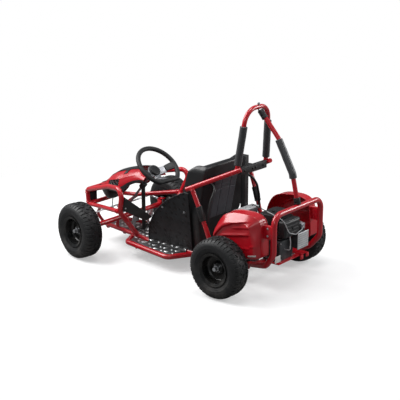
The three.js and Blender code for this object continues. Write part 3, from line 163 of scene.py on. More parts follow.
def interpolated(points, value):
    """The second number of a table at a value of its first, held at both ends."""
    for (x0, y0), (x1, y1) in zip(points, points[1:]):
        if value <= x1:
            return between(y0, y1, clamped((value - x0) / (x1 - x0)))
    return points[-1][1]


def smooth_between(a, b, c, d, share):
    """The value a share of the way from b to c on a smooth curve through four."""
    squared = a - b * 2.5 + c * 2 - d * 0.5
    cubed = (d - a) * 0.5 + (b - c) * 1.5
    return b + (c - a) * 0.5 * share + squared * share**2 + cubed * share**3


def smooth_table(rows, column, value):
    """A column of a table read along a smooth curve through its rows."""
    last = len(rows) - 1
    i = next((k for k in range(last) if value <= rows[k + 1][0]), last - 1)
    four = (rows[min(max(i + k, 0), last)][column] for k in (-1, 0, 1, 2))
    return smooth_between(*four, clamped((value - rows[i][0]) / (rows[i + 1][0] - rows[i][0])))


def closed_curve(points, steps):
    """A smooth closed curve through points of a plane, in so many steps from each to the next."""
    count = len(points)
    fours = [[Vector(points[(i + k) % count]) for k in (-1, 0, 1, 2)] for i in range(count)]
    return [tuple(smooth_between(*four, k / steps)) for four in fours for k in range(steps)]


def lengths_along(points):
    """How far along a line each of its points lies."""
    lengths = [0.0]
    for a, b in zip(points, points[1:]):
        lengths.append(lengths[-1] + (b - a).length)
    return lengths


def stretch_at(lengths, distance):
    """Which point of a line comes after a distance, and the share of the way to it."""
    i = next((k for k in range(1, len(lengths)) if distance <= lengths[k]), len(lengths) - 1)
    return i, (distance - lengths[i - 1]) / (lengths[i] - lengths[i - 1])


def rail_x(y):
    """How far from the middle a frame rail runs."""
    return interpolated([(point[1], point[0]) for point in RAIL], y)


# Selecting and finishing


def alone(piece):
    """Selects one object and makes it active, in object mode."""
    if bpy.context.object and bpy.context.object.mode != "OBJECT":
        leave()
    bpy.ops.object.select_all(action="DESELECT")
    piece.select_set(True)
    bpy.context.view_layer.objects.active = piece
    return piece


def editing(piece, pick=True):
    """Goes into edit mode with everything selected, or nothing."""
    alone(piece)
    bpy.ops.object.mode_set(mode="EDIT")
    bpy.ops.mesh.select_all(action="SELECT" if pick else "DESELECT")


def leave():
    bpy.ops.object.mode_set(mode="OBJECT")


def placed(piece):
    """Puts an object's place into its mesh."""
    alone(piece)
    bpy.ops.object.transform_apply(location=True, rotation=True, scale=True)
    return piece


def facing(piece, direction):
    """Turns a piece's upright axis to a direction, about its own middle."""
    piece.rotation_mode = "QUATERNION"
    piece.rotation_quaternion = Vector(direction).to_track_quat("Z", "Y")
    return placed(piece)


def modified(piece, kind, **settings):
    """Adds a modifier and applies it."""
    alone(piece)
    modifier = piece.modifiers.new(kind.title(), kind)
    for name, value in settings.items():
        setattr(modifier, name, value)
    bpy.ops.object.modifier_apply(modifier=modifier.name)
    return piece


def eased(piece, width, segments=2, angle=30):
    """Rounds the edges that turn by more than an angle."""
    return modified(
        piece, "BEVEL", width=width * MM, segments=segments, limit_method="ANGLE",
        angle_limit=math.radians(angle), use_clamp_overlap=True,
    )


def thickened(piece, thickness, offset=-1):
    return modified(piece, "SOLIDIFY", thickness=thickness * MM, offset=offset)


def cut(piece, cutter):
    return modified(piece, "BOOLEAN", object=cutter, operation="DIFFERENCE", solver="EXACT")


def smooth(piece, angle=40):
    alone(piece)
    bpy.ops.object.shade_smooth_by_angle(angle=math.radians(angle))
    return piece


def outwards(piece, distance=0.0):
    """Turns a mesh's faces outwards, after closing its seams if a distance is given."""
    editing(piece)
    if distance:
        bpy.ops.mesh.remove_doubles(threshold=distance * MM)
    bpy.ops.mesh.normals_make_consistent(inside=False)
    leave()
    return piece


def cleaned(piece, distance=0.02):
    return outwards(piece, distance)


def pruned(piece, unwanted):
    """Deletes the faces whose middle, in metres, passes a test."""
    editing(piece, False)
    leave()
    for face in piece.data.polygons:
        face.select = unwanted(face.center)
    tools = bpy.context.tool_settings
    tools.mesh_select_mode = (False, False, True)
    bpy.ops.object.mode_set(mode="EDIT")
    bpy.ops.mesh.delete(type="FACE")
    leave()
    tools.mesh_select_mode = (True, False, False)
    return piece


def joined(parts):
    """Joins objects into the first one."""
    parts = list(parts)
    alone(parts[0])
    for part in parts:
        part.select_set(True)
    if len(parts) > 1:
        bpy.ops.object.join()
    return bpy.context.object


def linked(data):
    """An object for a mesh or a curve, put in the scene."""
    made = bpy.data.objects.new(data.name, data)
    bpy.context.scene.collection.objects.link(made)
    return made


def from_points(points, edges, faces):
    mesh = bpy.data.meshes.new("points")
    mesh.from_pydata(points, edges, faces)
    return linked(mesh)


def twin(piece, matrix):
    """A moved copy with a mesh of its own."""
    made = linked(piece.data.copy())
    made.data.transform(matrix)
    return made


def discard(*pieces):
    for piece in pieces:
        bpy.data.objects.remove(piece)


def ready(piece, name, look, slot, *nodes, body="frame"):
    """Names a finished piece, paints it and puts it on its body in place of the CAD nodes."""
    piece.name = name
    piece.data.name = name
    piece.data.materials.clear()
    piece.data.materials.append(finish(look))
    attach(piece, body)
    if nodes:
        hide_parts(*nodes)


# Starting shapes


def cube():
    bpy.ops.mesh.primitive_cube_add(size=1)
    return bpy.context.object


def block(x, y, z, ease=0.0):
    """A box between limits, with its edges rounded."""
    low, high = (at(*corner) for corner in zip(x, y, z))
    made = cube()
    made.location = (low + high) / 2
    made.scale = high - low
    placed(made)
    if ease:
        editing(made)
        bpy.ops.mesh.bevel(offset=ease * MM, segments=2, affect="EDGES")
        leave()
    return smooth(made, 35)


def drum(start, end, radius, sides=24, ease=0.0):
    """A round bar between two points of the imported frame, in metres, its radius in millimetres."""
    start, end = Vector(start), Vector(end)
    bpy.ops.mesh.primitive_cone_add(
        vertices=sides, radius1=radius * MM, radius2=radius * MM, depth=(end - start).length,
        location=(start + end) / 2,
    )
    made = facing(bpy.context.object, end - start)
    if ease:
        eased(made, ease, 2, 60)
    return smooth(made, 35)


def lathe(profile, steps, centre=(0, 0, 0), axis=(1, 0, 0)):
    """A closed profile of (along the axis, from the axis) spun round the axis, in millimetres."""
    axis = Vector(axis).normalized()
    out = axis.orthogonal().normalized()
    points = [Vector(centre) + (axis * along_axis + out * away) * MM for along_axis, away in profile]
    count = len(points)
    made = from_points(points, [(i, (i + 1) % count) for i in range(count)], [])
    editing(made)
    bpy.ops.mesh.spin(steps=steps, angle=2 * math.pi, center=centre, axis=axis)
    leave()
    return cleaned(made)


def bent(corners, bend, turn_step=math.radians(12)):
    """The middle line of a bent tube, each corner turned at the bend radius."""
    most_share = 0.48
    corners = [at(*corner) for corner in corners]
    points = [corners[0]]
    for before, corner, after in zip(corners, corners[1:], corners[2:]):
        back, on = before - corner, after - corner
        room = min(back.length, on.length) * most_share
        back.normalize()
        on.normalize()
        turn = math.pi - back.angle(on)
        reach = min(bend * MM * math.tan(turn / 2), room)
        size = reach / math.tan(turn / 2)
        centre = corner + (back + on).normalized() * (size / math.cos(turn / 2))
        start, end = corner + back * reach - centre, corner + on * reach - centre
        steps = max(2, round(turn / turn_step))
        points += [centre + start.slerp(end, k / steps).normalized() * size for k in range(steps + 1)]
    return [*points, corners[-1]]


def along(points, radius, closed=False, round_steps=6):
    """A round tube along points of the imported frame, in metres, its radius in millimetres."""
    curve = bpy.data.curves.new("line", "CURVE")
    curve.dimensions = "3D"
    curve.bevel_depth = radius * MM
    curve.bevel_resolution = round_steps
    curve.use_fill_caps = not closed
    line = curve.splines.new("POLY")
    line.points.add(len(points) - 1)
    for place, point in zip(line.points, points):
        place.co = (*point, 1)
    line.use_cyclic_u = closed
    alone(linked(curve))
    bpy.ops.object.convert(target="MESH")
    return smooth(cleaned(bpy.context.object), 50)


def pipe(corners, radius, bend=FRAME_BEND, round_steps=6):
    """A bent round tube along corner points."""
    return along(bent(corners, bend), radius, round_steps=round_steps)


def over(corners, radius, bend):
    """A tube that runs up one side of the kart, across it and down the other."""
    return pipe(corners + mirrored(corners)[::-1], radius, bend)


def level(end, radius):
    """A straight tube across the kart, from an end on the left to the same place on the right."""
    return pipe([*mirrored([end]), end], radius)


def weld(point, direction, radius):
    """A bead of weld round a tube where it meets another."""
    bead_radius, lift = 2.6, 0.6
    bpy.ops.mesh.primitive_torus_add(
        major_segments=28, minor_segments=8, major_radius=(radius + lift) * MM,
        minor_radius=bead_radius * MM, location=point,
    )
    return smooth(facing(bpy.context.object, direction), 80)


def end_weld(corners, radius, host_radius, first=True):
    """The weld at the end of a tube that stops on the middle line of another."""
    end, inner = [at(*corner) for corner in (corners if first else corners[::-1])][:2]
    direction = (inner - end).normalized()
    return weld(end + direction * (host_radius + 1) * MM, direction, radius)


def skin(columns, rows, place):
    """A grid whose vertices are placed by a function of two shares from 0 to 1."""
    bpy.ops.mesh.primitive_grid_add(x_subdivisions=columns, y_subdivisions=rows, size=1)
    made = bpy.context.object
    for vertex in made.data.vertices:
        vertex.co = place(vertex.co.x + 0.5, vertex.co.y + 0.5)
    return made


def pressed(columns, rows, place, thickness, offset=-1):
    """A sheet of a thickness whose face is a placed grid."""
    return cleaned(thickened(skin(columns, rows, place), thickness, offset))


def copy_of(node, flat=1.0):
    """A welded copy of a CAD node, its flat faces in one piece each."""
    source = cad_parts[node]
    made = linked(source.data.copy())
    made.data.transform(source.matrix_world)
    editing(made)
    bpy.ops.mesh.customdata_custom_splitnormals_clear()
    bpy.ops.mesh.remove_doubles(threshold=0.01 * MM)
    bpy.ops.mesh.dissolve_limited(angle_limit=math.radians(flat), use_dissolve_boundaries=False)
    leave()
    return made


def dress(node, name, look, body, slot, ease, segments=2, edges=50, soft=40, piece=None):
    """Shows a CAD node as it is, its edges over an angle rounded and its shading smoothed."""
    piece = eased(piece or copy_of(node), ease, segments, edges)
    ready(smooth(piece, soft), name, look, slot, node, body=body)


def bolt(point, direction, radius, high, washer=True):
    """A hex bolt head on its washer, its foot at a point in metres, its sizes in millimetres."""
    washer_thick, washer_share, sunk = 0.8, 1.35, 0.4
    direction = Vector(direction).normalized() * MM
    foot = Vector(point)
    parts = []
    if washer:
        under = foot - direction * sunk
        foot = foot + direction * washer_thick
        parts.append(drum(under, foot, radius * washer_share, 20, 0.2))
    parts.append(drum(foot - direction * sunk / 2, foot + direction * high, radius, 6, 0.35))
    return joined(parts)


def bolts(name, look, points, direction, radius, high):
    """A row of like bolts as one piece."""
    ready(joined([bolt(at(*point), direction, radius, high) for point in points]), name, look, "steel")


# Finishes


def sum_of(operation, reflected=False):
    """An operator that adds a Math node for a socket and another value."""
    def method(self, other):
        first, second = (other, self) if reflected else (self, other)
        return self.nodes.maths(operation, first, second)
    return method


class Value:
    """A socket in a sum: each operator adds a Math node to its tree."""

    def __init__(self, nodes, socket):
        self.nodes = nodes
        self.socket = socket

    __add__ = __radd__ = sum_of("ADD")
    __sub__ = sum_of("SUBTRACT")
    __rsub__ = sum_of("SUBTRACT", True)
    __mul__ = __rmul__ = sum_of("MULTIPLY")


class Nodes:
    """The node tree of a material or a world, emptied and built anew."""

    def __init__(self, owner):
        owner.use_nodes = True
        self.tree = owner.node_tree
        self.tree.nodes.clear()

    def join(self, value, socket):
        if isinstance(value, Value):
            self.tree.links.new(value.socket, socket)
        elif isinstance(value, tuple) and len(value) == 3 and socket.type == "RGBA":
            socket.default_value = (*value, 1.0)
        else:
            socket.default_value = value

    def node(self, kind, settings=None, sockets=None, output=0):
        made = self.tree.nodes.new("ShaderNode" + kind)
        for name, value in (settings or {}).items():
            setattr(made, name, value)
        for name, value in (sockets or {}).items():
            self.join(value, made.inputs[name])
        return Value(self, made.outputs[output])

    def ended(self, kind, surface):
        """Adds the tree's output node."""
        self.join(surface, self.tree.nodes.new("ShaderNode" + kind).inputs["Surface"])

    def maths(self, operation, a, b=0.0):
        return self.node("Math", {"operation": operation}, {0: a, 1: b})

    def between(self, value, low, high, start=0.0, end=1.0):
        """Maps a value's range onto another, held at both ends."""
        sockets = {"Value": value, "From Min": low, "From Max": high, "To Min": start, "To Max": end}
        return self.node("MapRange", {"clamp": True}, sockets)

    def seen(self):
        """1 where the camera looks, straight or through a clear piece, and 0 for the light itself."""
        path = self.node("LightPath", output="Is Camera Ray")
        clear = Value(self, path.socket.node.outputs["Is Transmission Ray"])
        return self.maths("MAXIMUM", path, clear)


class Paint(Nodes):
    """A finish patterned by the place on its piece."""

    def __init__(self, name):
        self.material = bpy.data.materials.new(name)
        super().__init__(self.material)
        self.place = self.node("TexCoord", output="Object")

    def stretched(self, x, y, z):
        return self.node("Mapping", None, {"Vector": self.place, "Scale": (x, y, z)})

    def noise(self, scale, detail=3.0, rough=0.5, where=None):
        sockets = {"Vector": where or self.place, "Scale": scale, "Detail": detail, "Roughness": rough}
        return self.node("TexNoise", None, sockets)

    def cells(self, scale, feature="F1", **more):
        return self.node("TexVoronoi", {"feature": feature}, {"Vector": self.place, "Scale": scale, **more})

    def pebbles(self, scale):
        return self.cells(scale, "SMOOTH_F1")

    def patches(self, scale, detail, rough=0.5, low=0.35, high=0.7, where=None):
        """Soft patches: a noise stretched to run from 0 to 1 between two of its values."""
        return self.between(self.noise(scale, detail, rough, where), low, high)

    def mixed(self, share, first, second):
        return self.node("Mix", {"data_type": "RGBA"}, {0: share, 6: first, 7: second}, 2)

    def clouded(self, colour, factor, patches):
        """A colour that turns darker or lighter in patches."""
        return self.mixed(patches, colour, shade(colour, factor))

    def dusty(self, colour, amount, low=0.06, high=0.42, level=1.0):
        """A colour with dust that thins out upwards and gathers in patches."""
        height = self.node("SeparateXYZ", None, {"Vector": self.place}, "Z")
        near_ground = self.between(height, low, high, 1.0, 0.0)
        share = near_ground * self.patches(14, 5, 0.6, 0.42, 0.72) * amount
        return self.mixed(share, colour, shade(bpy.context.scene.kart_colours.dust, level))

    def bump(self, height, distance, strength, over=None):
        """Relief of a height in millimetres, laid over other relief if there is any."""
        sockets = {"Height": height, "Distance": distance * MM, "Strength": strength}
        if over is not None:
            sockets["Normal"] = over
        return self.node("Bump", None, sockets)

    def done(self, colour, roughness, normal, **fixed):
        """Ends the finish with its shader, the fixed sockets given by name."""
        sockets = {name.replace("_", " "): value for name, value in fixed.items()}
        sockets.update({"Base Color": colour, "Roughness": roughness, "Normal": normal})
        self.ended("OutputMaterial", self.node("BsdfPrincipled", None, sockets))
        return self.material


def shade(colour, factor):
    """A colour with all its channels changed by one factor, or each by its own."""
    factors = factor if isinstance(factor, tuple) else (factor,) * 3
    return tuple(channel * by for channel, by in zip(colour, factors))


def red_gloss(paint, red, coat=0.5, coat_rough=0.13):
    """Glossy red paint under a clear coat, with a fine orange peel."""
    tone = paint.dusty(paint.clouded(red, 0.8, paint.patches(7, 2, high=0.65)), 0.05)
    scuffs = paint.patches(60, 6, 0.7, 0.55, 0.75, paint.stretched(1, 1, 5))
    peel = paint.bump(paint.noise(300, 2), 0.02, 0.25)
    return paint.done(tone, 0.3 + 0.12 * scuffs, peel, Coat_Weight=coat, Coat_Roughness=coat_rough)


def satin_black(paint, black, grain=900, rough=0.42, metallic=0.0):
    """Powder coat: satin, with a fine even grain."""
    tone = paint.dusty(paint.clouded(black, 1.35, paint.patches(9, 3, low=0.3)), 0.18)
    worn = paint.patches(35, 5, 0.65, 0.4)
    return paint.done(tone, rough + 0.14 * worn, paint.bump(paint.noise(grain), 0.05, 0.5), Metallic=metallic)


def moulded_black(paint, black, rough=0.46):
    """Moulded plastic with a leather-like pebble grain."""
    tone = paint.dusty(paint.clouded(black, 1.4, paint.patches(6, 4)), 0.16)
    scuffs = paint.patches(26, 6, 0.7, 0.5, 0.75)
    return paint.done(tone, rough + 0.18 * scuffs, paint.bump(paint.pebbles(520), 0.12, 0.45))


def tyre_rubber(paint, rubber):
    """Dull rubber, dusty near the ground."""
    tone = paint.dusty(paint.clouded(rubber, 1.5, paint.patches(22, 5, 0.6)), 0.22, 0.0, 0.22)
    scuffs = paint.patches(80, 5, 0.7, 0.45)
    return paint.done(tone, 0.52 + 0.2 * scuffs, paint.bump(paint.noise(700, 4), 0.08, 0.6))


def sponge(paint, foam):
    """Closed-cell foam with a dull skin and small pores, the pores painted darker as painted shade."""
    pores = paint.cells(620)
    tone = paint.clouded(foam, 1.35, paint.patches(30, 5, 0.6))
    # Painted shade: the middle of each pore is mixed halfway to a darker foam colour.
    tone = paint.mixed(paint.between(pores, 0.0, 0.25, 0.5, 0.0), tone, shade(foam, 0.5))
    relief = paint.bump(pores, 0.04, 0.3, paint.bump(paint.noise(45), 0.25, 0.4))
    return paint.done(tone, 0.42 + 0.12 * paint.noise(90), relief, Sheen_Weight=0.25, Specular_IOR_Level=0.75)


def grip_rubber(paint, rubber):
    """Dimpled grip of the steering wheel."""
    tone = paint.clouded(rubber, 1.6, paint.patches(40, 4))
    return paint.done(tone, 0.55 + 0.15 * paint.noise(60, 4), paint.bump(paint.cells(330), 0.25, 0.6))


def plated(paint, steel, rough=0.26):
    """Zinc plate: bright, a little clouded and scratched."""
    clouds = paint.patches(24, 5, 0.6)
    scratches = paint.bump(paint.noise(260, 5, 0.7, paint.stretched(1, 6, 1)), 0.04, 0.35)
    return paint.done(paint.clouded(steel, 0.72, clouds), rough + 0.2 * clouds, scratches, Metallic=1.0)


def cast_alloy(paint, alloy, rough=0.5):
    """Sand cast alloy, clouded and a little dusty."""
    clouds = paint.patches(18, 5, 0.6)
    tone = paint.dusty(paint.clouded(alloy, 0.6, clouds), 0.3, 0.1, 0.5, 0.5)
    relief = paint.bump(paint.noise(650, 4, 0.6), 0.12, 0.7)
    return paint.done(tone, rough + 0.2 * clouds, relief, Metallic=0.85)


def tread_plate(paint, steel):
    """Rolled plate, dulled by shoes."""
    worn = paint.patches(20, 6, 0.65, 0.38, 0.68)
    tone = paint.dusty(paint.mixed(worn, shade(steel, 0.5), shade(steel, 0.22)), 0.3, 0.05, 0.5, 0.6)
    rolled = paint.bump(paint.noise(240, 3, 0.6, paint.stretched(8, 1, 1)), 0.05, 0.4)
    return paint.done(tone, 0.3 + 0.25 * worn, rolled, Metallic=0.9)


def leather_cloth(paint, black):
    """Vinyl upholstery with a fine creased grain."""
    tone = paint.clouded(black, 1.5, paint.patches(12, 4))
    relief = paint.bump(paint.noise(70), 0.4, 0.3, paint.bump(paint.pebbles(380), 0.18, 0.6))
    rough = 0.42 + 0.16 * paint.noise(50, 4)
    return paint.done(tone, rough, relief, Coat_Weight=0.1, Coat_Roughness=0.4)


def plain(paint, colour, rough, metallic=0.0):
    """A small part's finish: one colour with fine grain and a little clouding."""
    tone = paint.clouded(colour, 0.8, paint.patches(40, 4))
    grain = paint.bump(paint.noise(500), 0.05, 0.4)
    return paint.done(tone, rough + 0.1 * paint.noise(70), grain, Metallic=metallic)


def dimpled_black(paint, black):
    """Moulded plastic pressed with a loose grid of shallow dimples, each dimple painted near black as painted
    shade.
    """
    grid = paint.cells(25.0, Vector=paint.stretched(0.01, 1, 1), Randomness=0.4)
    dimple = paint.between(grid, 0.2, 0.3)
    tone = paint.clouded(black, 3.2, paint.patches(16, 6, 0.65, 0.38, 0.66))
    # Painted shade: each dimple's middle is near black, darker than the plastic round it.
    tone = paint.dusty(paint.mixed(dimple, shade(black, 0.2), tone), 0.06)
    relief = paint.bump(paint.pebbles(420), 0.1, 0.4, paint.bump(dimple, 2.0, 0.6))
    return paint.done(tone, 0.5 + 0.15 * paint.noise(30, 5), relief, Specular_IOR_Level=0.35)


def two_tone_cable(paint, black):
    """A cable black as far as the engine and pale round it."""
    pale, engine_y = (0.42, 0.43, 0.44), (0.58, 0.60)
    along_y = paint.node("SeparateXYZ", None, {"Vector": paint.place}, "Y")
    grain = paint.noise(260)
    tone = paint.mixed(paint.between(along_y, *engine_y), black, pale)
    return paint.done(tone, 0.4 + 0.15 * grain, paint.bump(grain, 0.05, 0.4))


# Each finish: its maker, its colour or which of the user's colours it takes, the factor on that
# colour, and the maker's own values
LOOKS = {
    "frame_red": (red_gloss, "red", 1),
    "shell_red": (red_gloss, "red", 0.92, 0.4, 0.22),
    "powder_black": (satin_black, "black", 1),
    "rim_black": (satin_black, "black", 0.6, 700, 0.26, 0.2),
    "plastic_black": (moulded_black, "plastic", 1),
    "seat_black": (moulded_black, "plastic", 0.95, 0.42),
    "guard_black": (dimpled_black, "plastic", 1),
    "vinyl": (leather_cloth, "plastic", 1.1),
    "tyre_rubber": (tyre_rubber, "rubber", 1),
    "grip_rubber": (grip_rubber, "rubber", 1),
    "foam_charcoal": (sponge, "foam", 1),
    "zinc": (plated, "steel", 1),
    "steel_bare": (plated, "steel", (0.7, 0.7, 0.72), 0.36),
    # The raised marks are a brighter copy of the plate's steel: a painted highlight on them.
    "plate_marks": (plated, "steel", (1.25, 1.25, 1.22), 0.3),
    "tread_plate": (tread_plate, "steel", 1),
    "alloy_cast": (cast_alloy, "casting", 1),
    "engine_dark": (cast_alloy, "casting", 0.32, 0.55),
    "cable_black": (plain, "black", 0.9, 0.5),
    "cable_two_tone": (two_tone_cable, "black", 0.9),
    # The seat's rear panel is a lighter, bluish grey than the seat: a painted highlight for the light on its
    # back.
    "panel_black": (plain, (0.062, 0.065, 0.074), 1, 0.36),
    "mesh_grey": (plain, (0.15, 0.155, 0.16), 1, 0.4, 0.2),
    "guard_grey": (plain, (0.62, 0.63, 0.64), 1, 0.42, 0.1),
    "plate_pale": (plain, (0.72, 0.71, 0.68), 1, 0.5),
}
FINISHES = {}


def finish(name):
    """The finish of that name, made when it is first asked for."""
    if name not in FINISHES:
        maker, colour, factor, *values = LOOKS[name]
        if isinstance(colour, str):
            colour = getattr(bpy.context.scene.kart_colours, colour)
        FINISHES[name] = maker(Paint(name), shade(colour, factor), *values)
    return FINISHES[name]


# Sizes and colours that a user would change


def length(name, description, default):
    return FloatProperty(name=name, description=description, default=default, unit="LENGTH")


def colour(name, description, default):
    return FloatVectorProperty(
        name=name, description=description, default=default, subtype="COLOR", min=0, max=1,
    )


class KartSizes(bpy.types.PropertyGroup):
    """Sizes of the detailed pieces"""

    tyre_radius: length("Tyre radius", "Outside radius of a tyre over its blocks", 0.1645)
    tread_blocks: IntProperty(
        name="Tread blocks", description="Shoulder blocks on each side of a tyre", default=42, min=12, max=60,
    )
    lozenge_pitch: length("Lozenge pitch", "Spacing of the raised marks on the tread plate", 0.043)
    foam_radius: length("Foam radius", "Outside radius of the foam sleeves", 0.0205)
    seat_crown: length("Seat crown", "How far the seat cushion crowns in the middle", 0.009)


class KartColours(bpy.types.PropertyGroup):
    """Colours of the finishes"""

    red: colour("Red", "Paint of the frame, cowl and fenders", (0.53, 0.0028, 0.0125))
    black: colour("Black", "Powder coat of posts, clamps and rims", (0.0060, 0.0063, 0.0068))
    plastic: colour("Plastic", "Moulded seat, guards and covers", (0.0062, 0.0065, 0.0074))
    rubber: colour("Rubber", "Tyres and grip", (0.0048, 0.0050, 0.0056))
    foam: colour("Foam", "Sleeves on the roll hoop and brace", (0.0125, 0.0135, 0.0155))
    steel: colour("Steel", "Plated steel and bright plate", (0.62, 0.63, 0.65))
    casting: colour("Casting", "Engine and caliper castings", (0.30, 0.31, 0.33))
    dust: colour("Dust", "Dust near the ground", (0.33, 0.30, 0.27))


# Frame and cage

# Tubes that both sides have: middle line, radius and bend radius
SIDE_TUBES = [
    (RAIL, RAIL_RADIUS, FRAME_BEND), (RISER, CROSS_RADIUS, FRAME_BEND), (SIDE_BAR, RAIL_RADIUS, FRAME_BEND),
    (NOSE_POST, RAIL_RADIUS, FRAME_BEND), (STEP_BAR, ARCH_RADIUS, STEP_BEND),
    (STRUT, RAIL_RADIUS, FRAME_BEND), (BEAM_POST, CROSS_RADIUS, FRAME_BEND),
    *((tube, STEP_TUBE_RADIUS, FRAME_BEND) for tube in STEP_TUBES),
]
# Tubes straight across: the left end and the radius
LEVEL_TUBES = [
    (RAIL[0], RAIL_RADIUS), (SIDE_BAR[0], RAIL_RADIUS), (ARCH_CROSS_TUBE_END, CROSS_RADIUS),
    (STRUT[0], RAIL_RADIUS), *(((rail_x(y), y, CROSS_Z), CROSS_RADIUS) for y in CROSS_TUBES_Y),
    ((KINGPIN_X - 27, FRONT_Y, AXLE_HEIGHT), ARCH_RADIUS),
]
# Welds on both sides: middle line, its radius, its host's radius, and whether at its first end
SIDE_WELDS = [
    (ARCH, ARCH_RADIUS, RAIL_RADIUS, True), (RISER, CROSS_RADIUS, RAIL_RADIUS, True),
    (SIDE_BAR, RAIL_RADIUS, ARCH_RADIUS, False), (NOSE_POST, RAIL_RADIUS, RAIL_RADIUS, True),
    (NOSE_POST, RAIL_RADIUS, ARCH_RADIUS, False), (STEP_BAR, ARCH_RADIUS, RAIL_RADIUS, True),
    (STEP_BAR, ARCH_RADIUS, RAIL_RADIUS, False), (STRUT, RAIL_RADIUS, RAIL_RADIUS, True),
]
LEVEL_WELD_HOST = RAIL_RADIUS - 4
# Plates as limits of x, y and z and how far their edges are rounded
YOKE_X, YOKE_Y = (KINGPIN_X - 30, KINGPIN_X + 15), (FRONT_Y - 17, FRONT_Y + 17)
SIDE_PLATES = [
    (YOKE_X, YOKE_Y, (195.4, 201.4), 1.2), (YOKE_X, YOKE_Y, (128.6, 134.6), 1.2),
    ((YOKE_X[0], YOKE_X[0] + 6), YOKE_Y, (128.6, 201.4), 1.2), ((134, 158), (480, 536), (97, 141.7), 1.2),
    ((208, 232), (694.6, 740), (328, 398), 1.5),
]
ENGINE_PLATE_Z = (146, 152)
ENGINE_PLATES = [
    ((-96, 108), (582, 706), ENGINE_PLATE_Z, 1), ((-166, -120), (582, 706), ENGINE_PLATE_Z, 1),
    ((-122, -94), (640, 706), ENGINE_PLATE_Z, 1), ((100, 166), (582, 622), ENGINE_PLATE_Z, 1),
]
# The engine plate's tabs as (x, drop): each a strip folded down with a stud through it
TABS = [(-96, 26), (-150, 22)]
TAB_HALF, TAB_FOLD, TAB_Y, FOLD_Y, TAB_STUD_Y = 13, 5, (714, 719), (700, 718), (719, 721)
LOWER_BEARING = (393, 415)


class KART_OT_chassis(bpy.types.Operator):
    """Adds the welded tube chassis with its plates and weld beads"""

    bl_idname = "kart.chassis"
    bl_label = "Chassis frame"

    def execute(self, context):
        parts = [over(ARCH, ARCH_RADIUS, ARCH_BEND), over(BUMPER, BUMPER_RADIUS, BUMPER_BEND)]
        parts += [pipe(line, radius, bend) for corners, radius, bend in SIDE_TUBES for line in both(corners)]
        parts += [level(end, radius) for end, radius in LEVEL_TUBES]
        parts += [block(across(side, x), *rest) for x, *rest in SIDE_PLATES for side, _ in SIDES]
        parts += [block(*plate) for plate in ENGINE_PLATES]
        for x, drop in TABS:
            parts += self.tab(x, drop)
        parts += self.welds()
        start, end = (down_column(distance) for distance in LOWER_BEARING)
        parts.append(drum(start, end, 18, 28, 1))
        parts.append(along([at(0, FRONT_Y, AXLE_HEIGHT), (start + end) / 2], CROSS_RADIUS))
        ready(joined(parts), "chassis_tubes", "frame_red", "frame", "chassis_frame")
        return {"FINISHED"}

    def tab(self, x, drop):
        """A tab of the engine plate, with its stud."""
        top = ENGINE_PLATE_Z[1]
        wide, stud_z = (x - TAB_HALF, x + TAB_HALF), top - drop + 8
        strips = [block(wide, TAB_Y, (top - drop, top), 1.2), block(wide, FOLD_Y, (top - TAB_FOLD, top), 1.2)]
        return [*strips, drum(*(at(x, y, stud_z) for y in TAB_STUD_Y), 5, 20, 0.4)]

    def welds(self):
        parts = []
        for corners, radius, host, first in SIDE_WELDS:
            parts += [end_weld(line, radius, host, first) for line in both(corners)]
        for y in CROSS_TUBES_Y:
            end = (rail_x(y), y, CROSS_Z)
            ends = [*mirrored([end]), end]
            parts += [end_weld(ends, CROSS_RADIUS, LEVEL_WELD_HOST, first) for first in (True, False)]
        return parts


# The clamps that hold strut and stub together, the brace's clamps and the bolts of both
STRUT_CLAMP = ((256, 274, 428), (249, 303, 350))
STRUT_CLAMP_RADIUS, STRUT_BOLT_OUT = 18, 17.2
STRUT_BOLT_SHARES, STRUT_LIP_SHARES = (0.25, 0.75), (0.08, 0.92)
BRACE_CLAMPS = [
    ("brace_top_clamp", "brace_top_cast", ((0, 490, 944), (0, 524, 905)), 17),
    ("brace_foot_clamp", "brace_foot_cast", ((0, 737, 505), (0, 743, 470)), 18),
]
BRACE_LIP_SHARE, BRACE_BOLT_SUNK = 0.55, 0.6
CLAMP_BOLT = (5, 4)


